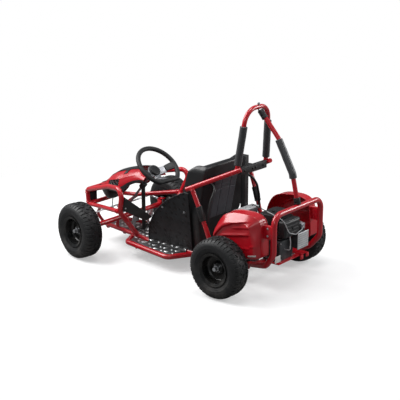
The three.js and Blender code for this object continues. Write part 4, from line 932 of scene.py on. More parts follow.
class KART_OT_cage(bpy.types.Operator):
    """Adds the roll hoop with its armrests, the rear brace and their clamps"""

    bl_idname = "kart.cage"
    bl_label = "Roll cage"

    def execute(self, context):
        parts = [over(HOOP, HOOP_RADIUS, HOOP_BEND)]
        for corners, radius in ((ARMREST, RAIL_RADIUS), (STRUT_STUB, HOOP_RADIUS)):
            parts += [pipe(line, radius) for line in both(corners)]
        for corners in (HOOP, STRUT_STUB):
            parts += [end_weld(line, HOOP_RADIUS, RAIL_RADIUS) for line in both(corners)]
        ready(joined(parts), "cage_tubes", "frame_red", "frame", "upper_cage")
        ready(pipe(BRACE, HOOP_RADIUS, BRACE_BEND), "brace_tube", "frame_red", "frame", "rear_brace_tube")
        for side, name in SIDES:
            self.strut_clamp(side, name)
        for clamp in BRACE_CLAMPS:
            self.brace_clamp(*clamp)
        dress("hoop_top_bolt", "hoop_bolt", "zinc", "frame", "steel", 0.8, 2, 30, 35)
        return {"FINISHED"}

    def strut_clamp(self, side, name):
        """A clamp block with a lip at each end and two bolts."""
        top, foot = (at(side * x, y, z) for x, y, z in STRUT_CLAMP)
        half_lip = (foot - top).normalized() * 3 * MM
        out = Vector((side, 0.15, 0.1)).normalized()
        parts = [drum(top, foot, STRUT_CLAMP_RADIUS, 32, 1.6)]
        for share in STRUT_LIP_SHARES:
            middle = top.lerp(foot, share)
            parts.append(drum(middle - half_lip, middle + half_lip, STRUT_CLAMP_RADIUS + 1, 32, 1))
        ready(joined(parts), "strut_clamp_cast_" + name, "powder_black", "black", "strut_clamp_" + name)
        heads = [bolt(top.lerp(foot, share) + out * STRUT_BOLT_OUT * MM, out, *CLAMP_BOLT)
                 for share in STRUT_BOLT_SHARES]
        ready(joined(heads), "strut_clamp_bolts_" + name, "powder_black", "steel")

    def brace_clamp(self, node, name, ends, radius):
        """A clamp block with a lip at its lower end and a bolt on each side."""
        start, end = (at(*point) for point in ends)
        middle = (start + end) / 2
        lip = drum(middle.lerp(end, BRACE_LIP_SHARE), end, radius + 1, 32, 1)
        ready(joined([drum(start, end, radius, 32, 1.6), lip]), name, "powder_black", "black", node)
        out = Vector((radius - BRACE_BOLT_SUNK, 0, 0)) * MM
        heads = [bolt(middle + out * side, (side, 0, 0), *CLAMP_BOLT) for side, _ in SIDES]
        ready(joined(heads), name + "_bolts", "powder_black", "steel")


# Foam sleeves: the piece, its middle line, its node and where its dents start
SLEEVES = [
    ("hoop_sleeve_left", FOAM_LEG, "hoop_foam_left", 0.0),
    ("hoop_sleeve_right", mirrored(FOAM_LEG), "hoop_foam_right", 1.7),
    ("brace_sleeve", FOAM_BRACE, "brace_foam", 3.1),
]
SLEEVE_ROLL, SLEEVE_BORE, SLEEVE_WALL = 4, 13.4, 2
# The share of the grid's rows that goes round each rolled end
ROLL_ROWS_SHARE = 0.1
SLIT_TURN, SLIT_HALF_TURN, SLIT_DEEP = 1.1, 0.07, 1.6
DENT_DEEP, DENT_WAVES = 0.35, (70, 31)


class KART_OT_foam(bpy.types.Operator):
    """Adds the foam sleeves on the roll hoop and the rear brace"""

    bl_idname = "kart.foam"
    bl_label = "Foam sleeves"

    def execute(self, context):
        radius = context.scene.kart_sizes.foam_radius / MM
        for name, corners, node, phase in SLEEVES:
            sleeve = self.sleeve(bent(corners, BRACE_BEND, math.radians(4)), radius, phase)
            ready(sleeve, name, "foam_charcoal", "foam", node)
        return {"FINISHED"}

    def sleeve(self, line, radius, phase):
        """A soft tube with rolled ends, a slit seam and slow dents along it."""
        lengths = lengths_along(line)
        total = lengths[-1] / MM

        def rolled_end(share):
            """How far in from the end, and how far out, the surface runs from the bore to the side."""
            if share < 0.5:
                return 0.0, between(SLEEVE_BORE, radius - SLEEVE_ROLL, share * 2)
            angle = (share - 0.5) * math.pi
            return SLEEVE_ROLL * (1 - math.cos(angle)), radius - SLEEVE_ROLL + SLEEVE_ROLL * math.sin(angle)

        def place(u, v):
            turn = 2 * math.pi * u
            from_end = min(v, 1 - v)
            if from_end < ROLL_ROWS_SHARE:
                inward, away = rolled_end(from_end / ROLL_ROWS_SHARE)
                distance = inward if v < ROLL_ROWS_SHARE else total - inward
            else:
                share = (v - ROLL_ROWS_SHARE) / (1 - 2 * ROLL_ROWS_SHARE)
                distance = between(SLEEVE_ROLL, total - SLEEVE_ROLL, share)
                long_wave, round_wave = (wave * distance * MM + phase for wave in DENT_WAVES)
                gap = (turn - SLIT_TURN + math.pi) % (2 * math.pi) - math.pi
                away = radius + DENT_DEEP * (math.sin(long_wave) * math.sin(round_wave + turn) - 1)
                away -= SLIT_DEEP * swell(gap, SLIT_HALF_TURN)
            i, share = stretch_at(lengths, min(max(distance * MM, 0.0), lengths[-1]))
            direction = (line[i] - line[i - 1]).normalized()
            right = direction.cross(Vector((0, 0.2, 1))).normalized()
            up = right.cross(direction)
            out = right * math.cos(turn) + up * math.sin(turn)
            return line[i - 1].lerp(line[i], share) + out * away * MM

        return smooth(thickened(cleaned(skin(72, 90, place)), SLEEVE_WALL), 60)


# Wheels by name, body and side. Their profiles are (out along the axle, radius) from the tyre's
# middle.

WHEEL_SPOTS = [
    ("front_left", "front_wheel_left", 1), ("front_right", "front_wheel_right", -1),
    ("rear_left", "rear_axle", 1), ("rear_right", "rear_axle", -1),
]
# The tyre's crown as (out along the axle, depth below the blocks), then its wall and its inside
TYRE_CROWN = [(0, 4.2), (22, 4.6), (38, 6.6), (48, 11)]
TYRE_WALL = [
    (55.5, 146), (60.2, 136), (61.6, 127), (60.6, 122), (61.4, 120), (61.2, 116), (60, 114.5), (58.6, 108),
    (56, 102), (53.6, 98.5), (53.8, 96), (51.6, 94), (49, 88), (46.5, 82), (45, 79.4),
]
TYRE_INSIDE = [(40, 79.2), (42, 84), (50, 104), (50, 128), (40, 146), (0, 151)]
# Tread blocks as (out along the axle, depth below the crown)
SHOULDER_BLOCK, SHOULDER_LONG, SHOULDER_DEEP = [(26, 0), (40, 2.4), (49, 7.6), (57.5, 20.5)], 18.5, 16
MIDDLE_BLOCK, MIDDLE_LONG, MIDDLE_DEEP = [(-10, 0), (10, 0)], 19, 15
# The middle rows as (turn in blocks, out along the axle, lean)
MIDDLE_ROWS = [(0.0, 10.5, 0.5), (0.5, -10.5, -0.5)]
RIM = [
    (-22, 13.3), (14, 13.3), (14, 27), (12, 29.5), (4, 36), (1, 38.5), (0, 42), (0, 62), (2, 67), (8, 72.5),
    (12, 74), (46, 74), (50, 75.5), (53.5, 82), (56.5, 88), (58, 90.5), (58, 92), (56, 92.2), (53, 88),
    (50, 80), (46, 78), (16, 78), (12, 76.4), (-12, 76.4), (-46, 78), (-50, 80), (-53, 88), (-54, 92),
    (-56, 91.5), (-55.5, 89), (-52, 80), (-48, 73.5), (-4, 73.5), (-3, 70), (-4, 64), (-6, 62), (-9, 40),
    (-22, 27),
]
NUT_CIRCLE, NUT_FOOT, NUT_SIZE = 21, 13.4, (4.2, 4.4)
VALVE_FOOT, VALVE_REACH, VALVE_RADIUS = Vector((2, 58, 12)), Vector((17, 3, 0)), 2.6


class KART_OT_wheels(bpy.types.Operator):
    """Adds four tyres with their tread and four steel rims"""

    bl_idname = "kart.wheels"
    bl_label = "Wheels"

    def execute(self, context):
        sizes = context.scene.kart_sizes
        tyre = self.tyre(sizes.tyre_radius / MM, sizes.tread_blocks)
        rim = smooth(lathe(RIM, 72), 32)
        nuts = self.nuts()
        for name, body, side in WHEEL_SPOTS:
            hub = self.hub(name.startswith("front"), side)
            ready(twin(tyre, hub), "tread_" + name, "tyre_rubber", "tyre", "tyre_" + name, body=body)
            ready(twin(rim, hub), "wheel_disc_" + name, "rim_black", "rim", "rim_" + name, body=body)
            ready(twin(nuts, hub), "wheel_nuts_" + name, "steel_bare", "steel", body=body)
        discard(tyre, rim, nuts)
        return {"FINISHED"}

    def hub(self, front, side):
        """Where a wheel made about the origin goes, its outer side turned away from the kart."""
        if front:
            arm = Matrix.Translation(Vector((side * (FRONT_TRACK / 2 - KINGPIN_X), 0, 0)) * MM)
            place = Matrix.Translation(at(side * KINGPIN_X, FRONT_Y, AXLE_HEIGHT))
            place = place @ Matrix.Rotation(STEER_SHOWN, 4, "Z") @ arm
        else:
            place = Matrix.Translation(at(side * REAR_TRACK / 2, REAR_Y, AXLE_HEIGHT))
        return place @ Matrix.Rotation(0 if side > 0 else math.pi, 4, "Z")

    def tyre(self, outside, count):
        """A tyre about the origin, its axis along X and its outer side towards +X."""
        half = [(x, outside - depth) for x, depth in TYRE_CROWN] + TYRE_WALL
        inner, outer = ([(-x, away) for x, away in row[::-1]] for row in (TYRE_INSIDE[:-1], half[1:]))
        carcass = smooth(lathe(half + TYRE_INSIDE + inner + outer, 84))
        shoulder = self.tread_block(SHOULDER_BLOCK, outside, SHOULDER_LONG, SHOULDER_DEEP)
        middle = self.tread_block(MIDDLE_BLOCK, outside, MIDDLE_LONG, MIDDLE_DEEP)
        turned = [Matrix.Rotation(math.pi * k / count, 4, "X") for k in range(2 * count)]
        about = Matrix.Rotation(math.pi, 4, "Z")
        parts = [carcass]
        for k in range(count):
            parts += [twin(shoulder, turned[2 * k]), twin(shoulder, turned[2 * k + 1] @ about)]
        for k in range(count // 2):
            for offset, x, lean in MIDDLE_ROWS:
                spot = Matrix.Translation(Vector((x, 0, 0)) * MM) @ Matrix.Rotation(lean, 4, "Z")
                parts.append(twin(middle, turned[round(4 * (k + offset))] @ spot))
        discard(shoulder, middle)
        return joined(parts)

    def tread_block(self, line, outside, long, deep):
        """A block whose outer face follows a line, upright at the top of the tyre."""
        def place(u, v):
            x, depth = line[round(u * (len(line) - 1))]
            return Vector((x, (v - 0.5) * long, outside - depth)) * MM

        made = outwards(skin(len(line) - 1, 1, place))
        thickened(made, deep / 2, -1 if made.data.polygons[0].normal.z > 0 else 1)
        return smooth(eased(cleaned(made), 1.1, 1, 50), 35)

    def nuts(self):
        """Four nuts on the hub's face and the valve by the rim."""
        parts = []
        for k in range(4):
            angle = math.pi * (k / 2 + 0.25)
            spot = Vector((NUT_FOOT, NUT_CIRCLE * math.cos(angle), NUT_CIRCLE * math.sin(angle))) * MM
            parts.append(bolt(spot, (1, 0, 0), *NUT_SIZE, False))
        parts.append(drum(VALVE_FOOT * MM, (VALVE_FOOT + VALVE_REACH) * MM, VALVE_RADIUS, 16, 0.4))
        return joined(parts)


# Seat

CROSSBAR_BOLTS = [(x, 456, 622) for x in (-84, -14, 14, 84)]
SEAT_STAY_BEND = 60
REAR_CASE = ((-40, 126), (414, 458), (322, 394), 8)
REAR_CASE_LID = ((-44, 130), (410, 462), (394, 402), 3)
# The seat's back as (y, z) at the foot and the top of its rear panel, and the panel on it
BACK_LOW, BACK_HIGH = (216.5, 304), (267.4, 557)
PANEL_HALF, PANEL_MARGIN, PANEL_RISE, PANEL_EDGE = 100, 6, 3.4, 7
# Lines pressed across the panel as (height, how far it arches, depth, width), and the grooves
PANEL_LINES = [(470, 10, 1.7, 2.6), (500, 5, 0.8, 2.2)]
PANEL_GROOVE_X, PANEL_GROOVE_DEEP, PANEL_GROOVE_WIDE = 40, 3.0, 3.2
# The cushion's middle line as (y, z), its half width low down and how much it widens above
CUSHION_LINE = [
    (-82, 165), (-30, 163), (40, 160), (110, 158), (142, 178), (158, 240), (171, 300), (186, 370),
    (201, 440), (216, 510), (226, 580), (228, 606),
]
CUSHION_HALF, CUSHION_WIDENS, CUSHION_WIDENS_Z = 92, 72, (165, 355)
CUSHION_THICK, CUSHION_END, CUSHION_SQUARE = 12.5, 60, 0.55
CHANNEL_PITCH, CHANNEL_START, CHANNEL_DEEP, CHANNEL_SHARE = 58, 22, 6.0, 0.10
SIDE_SEAM_SHARE, SIDE_SEAM_WIDE_SHARE, SIDE_SEAM_DEEP = 0.68, 0.035, 4.5


class KART_OT_seat(bpy.types.Operator):
    """Adds the moulded seat, its rear panel, its stays and the padded cushion"""

    bl_idname = "kart.seat"
    bl_label = "Seat"

    def execute(self, context):
        shell = eased(copy_of("seat_shell", flat=2), 20, 4, 50)
        modified(shell, "REMESH", mode="VOXEL", voxel_size=4.6 * MM)
        modified(shell, "SMOOTH", factor=0.5, iterations=18)
        ready(smooth(shell, 80), "seat_bucket", "seat_black", "plastic", "seat_shell")
        self.rear_panel()
        self.cushion(context.scene.kart_sizes.seat_crown / MM)
        dress("seat_post", "seat_post_bar", "powder_black", "frame", "black", 2.2, 3, 30, 35)
        dress("seat_crossbar", "seat_crossbar_bar", "powder_black", "frame", "black", 1.6, 2, 30, 35)
        bolts("crossbar_bolts", "powder_black", CROSSBAR_BOLTS, (0, 1, 0), *CLAMP_BOLT)
        for (_, name), corners in zip(SIDES, both(SEAT_STAY)):
            stay = pipe(corners, STEP_TUBE_RADIUS, SEAT_STAY_BEND)
            ready(stay, "seat_stay_" + name, "powder_black", "black")
        ready(block(*REAR_CASE), "seat_rear_case", "engine_dark", "casting")
        ready(block(*REAR_CASE_LID), "seat_rear_case_lid", "guard_grey", "casting")
        return {"FINISHED"}

    def rear_panel(self):
        """A raised panel down the middle of the seat's back, with lines pressed across it, its lighter grey a
        painted highlight.
        """
        (y0, z0), (y1, z1) = BACK_LOW, BACK_HIGH

        def place(u, v):
            z = between(z0 + PANEL_MARGIN, z1 - PANEL_MARGIN, v)
            x = between(-PANEL_HALF, PANEL_HALF, u)
            from_edge = min(min(u, 1 - u) * 2 * PANEL_HALF, min(v, 1 - v) * (z1 - z0))
            rise = PANEL_RISE * math.sin(min(1.0, from_edge / PANEL_EDGE) * math.pi / 2)
            for height, arch, deep, wide in PANEL_LINES:
                rise -= deep * swell(z - (height + arch * math.cos((u - 0.5) * math.pi)), wide)
            rise -= PANEL_GROOVE_DEEP * swell(abs(x) - PANEL_GROOVE_X, PANEL_GROOVE_WIDE)
            return at(x, between(y0, y1, (z - z0) / (z1 - z0)) + 0.2 + rise, z)

        # The panel's lighter grey than the seat is a painted highlight.
        ready(smooth(pressed(84, 110, place, 1.2), 60), "seat_rear_panel", "panel_black", "plastic")

    def cushion(self, crown):
        """A crowned pad that runs from the front of the seat up its back, sewn across in channels."""
        points = [Vector((0, y, z)) for y, z in CUSHION_LINE]
        lengths = lengths_along(points)
        last = len(points) - 1

        def middle(distance):
            i, share = stretch_at(lengths, distance)
            before = points[i] - points[max(i - 2, 0)]
            after = points[min(i + 1, last)] - points[i - 1]
            return points[i - 1].lerp(points[i], share), before.lerp(after, share).normalized()

        def squared(value):
            return math.copysign(abs(value) ** CUSHION_SQUARE, value)

        def place(u, v):
            v = clamped(v)
            distance = lengths[-1] * v
            point, direction = middle(distance)
            from_end = min(1.0, min(v, 1 - v) * 2 * lengths[-1] / CUSHION_END)
            full = math.sqrt(1 - (1 - from_end) ** 2)
            side, high = (squared(wave(2 * math.pi * u)) for wave in (math.cos, math.sin))
            low_z, high_z = CUSHION_WIDENS_Z
            half = CUSHION_HALF + CUSHION_WIDENS * clamped((point.z - low_z) / (high_z - low_z))
            thick = CUSHION_THICK
            if high > 0:
                from_seam = 1 - abs(((distance + CHANNEL_START) / CHANNEL_PITCH) % 1 - 0.5) * 2
                thick += crown * (1 - abs(side) ** 3)
                thick -= CHANNEL_DEEP * swell(from_seam, CHANNEL_SHARE)
                thick -= SIDE_SEAM_DEEP * swell(abs(side) - SIDE_SEAM_SHARE, SIDE_SEAM_WIDE_SHARE)
            spot = point + Vector((0, -direction.z, direction.y)) * high * thick * full
            return at(half * (0.93 + 0.07 * full) * side, spot.y, spot.z)

        made = cleaned(skin(96, 160, place), 0.3)
        ready(smooth(made, 60), "seat_pad", "vinyl", "vinyl", "seat_cushion")


# Floor, as plates with their top and their outline from above

STEP_OUTLINE = [(145.6, -322), (196, -300), (247, 16), (234, 46), (145.6, 100)]
FLOOR_HALF = [(-54, -628), (-94, -334), (-117.5, -212), (-117.5, 60)]
PLATES = [
    ("floor_plate", "floor_chequer", 101.2, [*FLOOR_HALF, *((-x, y) for x, y in FLOOR_HALF[::-1])]),
    ("side_step_left", "step_chequer_left", 96, STEP_OUTLINE),
    ("side_step_right", "step_chequer_right", 96, [(-x, y) for x, y in STEP_OUTLINE]),
]
MARK_MARGIN = 13
# A raised mark's length, width and height, how far it stands up and how it tapers
LOZENGE, LOZENGE_LIFT, LOZENGE_TAPER = Vector((19.0, 8.5, 3.0)), 0.9, (0.72, 0.6)
# The step's folded edge over the rail as (x, z), its ends, and the row of marks on it
FLANGE = [(132, 111.2), (139, 110.4), (145, 108), (149, 104), (153, 98.6), (160, 97)]
FLANGE_Y = (-196, 92)
FLANGE_MARK_X, FLANGE_MARKS_Y, FLANGE_MARK_Z = 141, range(-172, 79, 50), 110.2


class KART_OT_floor(bpy.types.Operator):
    """Adds the chequer plate floor and side steps with their raised lozenges"""

    bl_idname = "kart.floor"
    bl_label = "Floor and steps"

    def execute(self, context):
        pitch = context.scene.kart_sizes.lozenge_pitch / MM
        lozenge = self.lozenge()
        for node, name, top, outline in PLATES:
            dress(node, name, "tread_plate", "frame", "chequer", 0.6, 2, 30, 35)
            spots = [(x, y, top, lean * 45) for x, y, lean in self.grid(outline, pitch)]
            self.marks(lozenge, name + "_marks", spots)
        for side, name in SIDES:
            ready(self.flange(side), "step_flange_" + name, "guard_black", "chequer")
            spots = [(side * FLANGE_MARK_X, y, FLANGE_MARK_Z, 50 if k % 2 else -50)
                     for k, y in enumerate(FLANGE_MARKS_Y)]
            self.marks(lozenge, "step_flange_marks_" + name, spots)
        discard(lozenge)
        return {"FINISHED"}

    def grid(self, outline, pitch):
        """The middles of a grid's squares that lie well within an outline, leaning by turns."""
        xs, ys = zip(*outline)
        for row in range(int((max(ys) - min(ys)) / pitch) + 1):
            for column in range(int((max(xs) - min(xs)) / pitch) + 1):
                x, y = min(xs) + (column + 0.5) * pitch, min(ys) + (row + 0.5) * pitch
                if self.inside(x, y, outline):
                    yield x, y, 1 if (row + column) % 2 else -1

    def inside(self, x, y, outline):
        """Whether a point lies within an outline by more than the margin."""
        away = []
        for (x0, y0), (x1, y1) in zip(outline, outline[1:] + outline[:1]):
            away.append(((x1 - x0) * (y - y0) - (y1 - y0) * (x - x0)) / math.hypot(x1 - x0, y1 - y0))
        return min(away) > MARK_MARGIN or max(away) < -MARK_MARGIN

    def marks(self, lozenge, name, spots):
        """Raised marks at places in millimetres, each leaning by an angle in degrees."""
        places = [Matrix.Translation(at(x, y, z)) @ Matrix.Rotation(math.radians(lean), 4, "Z")
                  for x, y, z, lean in spots]
        # The marks' brighter steel is a painted highlight.
        ready(joined([twin(lozenge, place) for place in places]), name, "plate_marks", "chequer")

    def flange(self, side):
        """The folded edge of the step plate, lapped over the frame rail."""
        folds = len(FLANGE) - 1
        x_at, z_at = ([(k / folds, corner[axis]) for k, corner in enumerate(FLANGE)] for axis in (0, 1))

        def place(u, v):
            return at(side * interpolated(x_at, u), between(*FLANGE_Y, v), interpolated(z_at, u))

        return smooth(pressed(folds, 12, place, 1.4, 0), 40)

    def lozenge(self):
        """One raised mark: a long low bar tapered to both ends."""
        bpy.ops.mesh.primitive_cylinder_add(vertices=8, radius=1, depth=1)
        made = bpy.context.object
        made.scale = LOZENGE * MM
        for vertex in placed(made).data.vertices:
            vertex.co.z += LOZENGE_LIFT * MM
            if vertex.co.z > 0:
                vertex.co.x *= LOZENGE_TAPER[0]
                vertex.co.y *= LOZENGE_TAPER[1]
        return smooth(made, 25)


# Guards. The side guard lies in a leaning plane, as (along the kart, up the plane); its front and
# top are one curve with a control point, and its rear is straight.

GUARD_LEAN = math.radians(17.2)
GUARD_FOOT = (136, 107.6)
GUARD_CURVE = [Vector(corner) for corner in ((-206, 0), (-158, 252), (172, 400))]
GUARD_REAR = [Vector((200, 396)), Vector((132, 0))]
GUARD_MIDDLE = Vector((20, 180))
# The border's rings as (inset from the edge, out from the plane)
GUARD_RINGS = [(0, -2.4), (0, 2.0), (1.2, 4.0), (4, 5.0), (7, 4.0), (10, 0.6), (60, 0.9)]
GUARD_BOLTS = [(-26, 262), (136, 262)]
LEG_GUARD_BOLT, LEG_GUARD_OUT, LEG_GUARD_BOLT_SIZE = (259, -270, 316), (0.803, 0.530, -0.272), (5.5, 5)


class KART_OT_guards(bpy.types.Operator):
    """Adds the side guards and leg guards with their bolts"""

    bl_idname = "kart.guards"
    bl_label = "Guards"

    def execute(self, context):
        for side, name in SIDES:
            node = "leg_guard_" + name
            dress(node, "guard_strip_" + name, "plastic_black", "frame", "plastic", 1.6, 3, 40, 35)
            ready(self.panel(side), "guard_panel_" + name, "guard_black", "plastic", "side_guard_" + name)
            out = Vector((side * math.cos(GUARD_LEAN), 0, -math.sin(GUARD_LEAN)))
            heads = [bolt(self.face(side, y, up, 1.0), out, *CLAMP_BOLT) for y, up in GUARD_BOLTS]
            ready(joined(heads), "guard_bolts_" + name, "zinc", "steel")
            x, *rest = LEG_GUARD_OUT
            away = Vector((side * x, *rest))
            foot = at(side * LEG_GUARD_BOLT[0], *LEG_GUARD_BOLT[1:]) + away * 2.6 * MM
            ready(bolt(foot, away, *LEG_GUARD_BOLT_SIZE), "leg_guard_bolt_" + name, "zinc", "steel")
        return {"FINISHED"}

    def face(self, side, y, up, out):
        """A point of the leaning panel, out from its middle."""
        wide, high = math.sin(GUARD_LEAN), math.cos(GUARD_LEAN)
        foot_x, foot_z = GUARD_FOOT
        return at(side * (foot_x + up * wide + out * high), y, foot_z + up * high - out * wide)

    def outline(self, inset, steps=28):
        """The panel's edge, its front and top one long curve, drawn in by an inset."""
        start, control, end = GUARD_CURVE
        shares = [k / steps for k in range(steps + 1)]
        curve = [start * (1 - t) ** 2 + control * 2 * t * (1 - t) + end * t * t for t in shares]
        return [point + (GUARD_MIDDLE - point).normalized() * inset for point in curve + GUARD_REAR]

    def panel(self, side):
        """A thin moulded panel: a rolled border round a slightly sunk face."""
        rows = [[self.face(side, y, up, out) for y, up in self.outline(inset)] for inset, out in GUARD_RINGS]
        count, last = len(rows[0]), len(rows) - 1
        faces = [tuple(range(last * count, (last + 1) * count)), tuple(range(count))[::-1]]
        for row in range(last):
            low, high = row * count, (row + 1) * count
            for k in range(count):
                on = (k + 1) % count
                faces.append((low + k, low + on, high + on, high + k))
        return smooth(cleaned(from_points([point for row in rows for point in row], [], faces)), 35)


# Cowl, as sections of (y, half width, ridge height, edge height)

COWL_SECTIONS = [
    (-698, 44, 346, 340.4), (-660, 58, 362, 338), (-620, 80, 388, 336), (-580, 100, 422, 337),
    (-520, 116, 456, 340), (-450, 118, 478, 350), (-385, 110, 493, 396), (-330, 104, 496, 422),
    (-276, 98, 472, 438),
]
COWL_FRONT, COWL_REAR = COWL_SECTIONS[0][0], COWL_SECTIONS[-1][0]
COWL_POWER, COWL_WALL = 0.8, 2.6
CREASE_SHARE, CREASE_WIDE_SHARE, CREASE_OUT = 0.62, 0.06, 2.4
# The window in each side: its ends, and its lower and upper edge along them
GRILLE_Y = (-566, -466)
GRILLE_LOW, GRILLE_HIGH = (list(zip(GRILLE_Y, heights)) for heights in ((346, 358), (398, 424)))
GRILLE_LAP_Y, GRILLE_LAP_Z, GRILLE_SUNK, GRILLE_WIRE = 8, 5, 5, 5.0
# The strips on the cowl: rows and columns of each, from and to (share of the length, share of the
# way across), and how far it stands off
BAND_Y, TRIM_WALL = (-446, -420), 2.2
RIDGE_ACROSS, BAND_ACROSS, LIPS_ACROSS = (0.37, 0.63), (0.27, 0.73), ((0.0, 0.05), (0.95, 1.0))
RIDGE_OFF, BAND_OFF, LIP_OFF = 3, 3.2, 1.6
COLUMN_ROOM, COLUMN_ROOM_RADIUS = (-140, 460), 76
# The nose plate: a strip, its two ends and a rib, as limits and the rounding of their edges
NOSE_PLATE = [
    ((-80, 80), (-703, -698), (300, 318), 2), ((70, 138), (-703, -698), (240, 318), 2),
    ((-138, -70), (-703, -698), (240, 318), 2), ((-120, 120), (-707, -702), (304, 309), 1),
]
LINER_Y, LINER_IN, LINER_LOW = (-690, -574), 4, 2
LINER_DEEP, LINER_POWERS = (30, 52), (0.6, 0.55)


class KART_OT_cowl(bpy.types.Operator):
    """Adds the red cowl with its black strips, side meshes, liner and the nose plate"""

    bl_idname = "kart.cowl"
    bl_label = "Cowl"

    def execute(self, context):
        room = drum(*(down_column(distance) for distance in COLUMN_ROOM), COLUMN_ROOM_RADIUS, 48)
        shell = pruned(skin(84, 80, self.surface), self.in_window)
        cut(cleaned(thickened(shell, COWL_WALL)), room)
        ready(smooth(shell, 60), "cowl_shell", "shell_red", "shell", "cowl")
        band_along = [self.share_of(y) for y in BAND_Y]
        trim = joined([
            self.strip(90, 24, (0, 1), RIDGE_ACROSS, RIDGE_OFF),
            self.strip(6, 48, band_along, BAND_ACROSS, BAND_OFF),
            *(self.strip(90, 4, (0, 1), lip, LIP_OFF) for lip in LIPS_ACROSS),
        ])
        cut(thickened(trim, TRIM_WALL), room)
        ready(smooth(trim, 60), "cowl_strips", "plastic_black", "plastic", "cowl_trim")
        discard(room)
        ready(joined([self.mesh(side) for side, _ in SIDES]), "cowl_mesh", "mesh_grey", "plastic")
        ready(joined([block(*limits) for limits in NOSE_PLATE]), "nose_plate", "plastic_black", "plastic")
        ready(smooth(pressed(24, 36, self.liner, 2, 0), 50), "cowl_liner", "plastic_black", "plastic")
        ready(pipe(FRONT_HOSE, 3, 30, 4), "front_hose", "cable_black", "plastic")
        return {"FINISHED"}

    def section(self, y):
        """The half width, ridge height and edge height of the cowl at a place along it."""
        return (smooth_table(COWL_SECTIONS, column, y) for column in (1, 2, 3))

    def share_of(self, y):
        return (y - COWL_FRONT) / (COWL_REAR - COWL_FRONT)

    def surface(self, u, v, off=0):
        """A point of the cowl at a share of its length and a share of the way across it."""
        y = between(COWL_FRONT, COWL_REAR, clamped(u))
        half, ridge, edge = self.section(y)
        wide, high = math.cos(math.pi * clamped(v)), math.sin(math.pi * clamped(v))
        x = (half + off) * math.copysign(abs(wide) ** COWL_POWER, wide)
        z = edge + (ridge - edge + off) * abs(high) ** COWL_POWER
        up_share = (z - edge) / (ridge - edge)
        crease = CREASE_OUT * swell(up_share - CREASE_SHARE, CREASE_WIDE_SHARE) * math.sin(math.pi * u)
        return at(x + math.copysign(crease, wide), y, z)

    def strip(self, rows, columns, lengthwise, crosswise, off):
        """A grid that lies over a part of the cowl."""
        def place(u, v):
            return self.surface(between(*lengthwise, u), between(*crosswise, v), off)

        return skin(rows, columns, place)

    def in_window(self, point):
        y, z = point.y / MM - SHIFT_Y, point.z / MM
        low, high = (interpolated(edge, y) for edge in (GRILLE_LOW, GRILLE_HIGH))
        return GRILLE_Y[0] < y < GRILLE_Y[1] and low < z < high

    def mesh(self, side):
        """An open diamond mesh behind the window in the cowl's side."""
        def place(u, v):
            y = between(GRILLE_Y[0] - GRILLE_LAP_Y, GRILLE_Y[1] + GRILLE_LAP_Y, u)
            low = interpolated(GRILLE_LOW, y) - GRILLE_LAP_Z
            high = interpolated(GRILLE_HIGH, y) + GRILLE_LAP_Z
            _, ridge, edge = self.section(y)
            up = clamped((between(low, high, v) - edge) / (ridge - edge)) ** (1 / COWL_POWER)
            angle_share = math.asin(up) / math.pi
            return self.surface(self.share_of(y), angle_share if side > 0 else 1 - angle_share, -GRILLE_SUNK)

        made = skin(4, 3, place)
        editing(made)
        bpy.ops.mesh.poke()
        leave()
        return smooth(modified(made, "WIREFRAME", thickness=GRILLE_WIRE * MM, use_even_offset=False), 30)

    def liner(self, u, v):
        """A point of the dark tray slung under the front of the cowl."""
        y = between(*LINER_Y, u)
        half, _, edge = self.section(y)
        bulges = [math.sin(math.pi * clamped(share)) ** power for share, power in zip((u, v), LINER_POWERS)]
        drop = (LINER_DEEP[0] + LINER_DEEP[1] * bulges[0]) * bulges[1]
        return at((half - LINER_IN) * math.cos(math.pi * v), y, edge - LINER_LOW - drop)


# Steering wheel, in millimetres from its hub: the rim, its flattened top, and the spokes

RIM_RADIUS, GRIP_RADIUS, FLAT_TOP, FLAT_WAVE = 133, 14, 110, 2.2
# Spokes and covers by their angle from the left, the spokes with how far out they reach
SPOKES = [(10, 122), (170, 122), (90, 98)]
COVERED = (10, 170)
SPOKE_ROOT, SPOKE_BEND_X, SPOKE_LOW, SPOKE_THICK = 18, (53, 50), -51.6, 3.4
SPOKE_TIP_HALF, SPOKE_HALF_WIDE, SPOKE_NARROWS = 1.5, 27, 9
# A cover's inner and outer end as (distance, width, height), and its thickness
COVER_ENDS, COVER_THICK = ((74, 42, -30), (127, 50, 3)), 13
# The ring round the hub that takes away the solid's own spokes
SPOKE_ROOM = [(-60, 41), (-60, 170), (12, 170), (12, 41)]


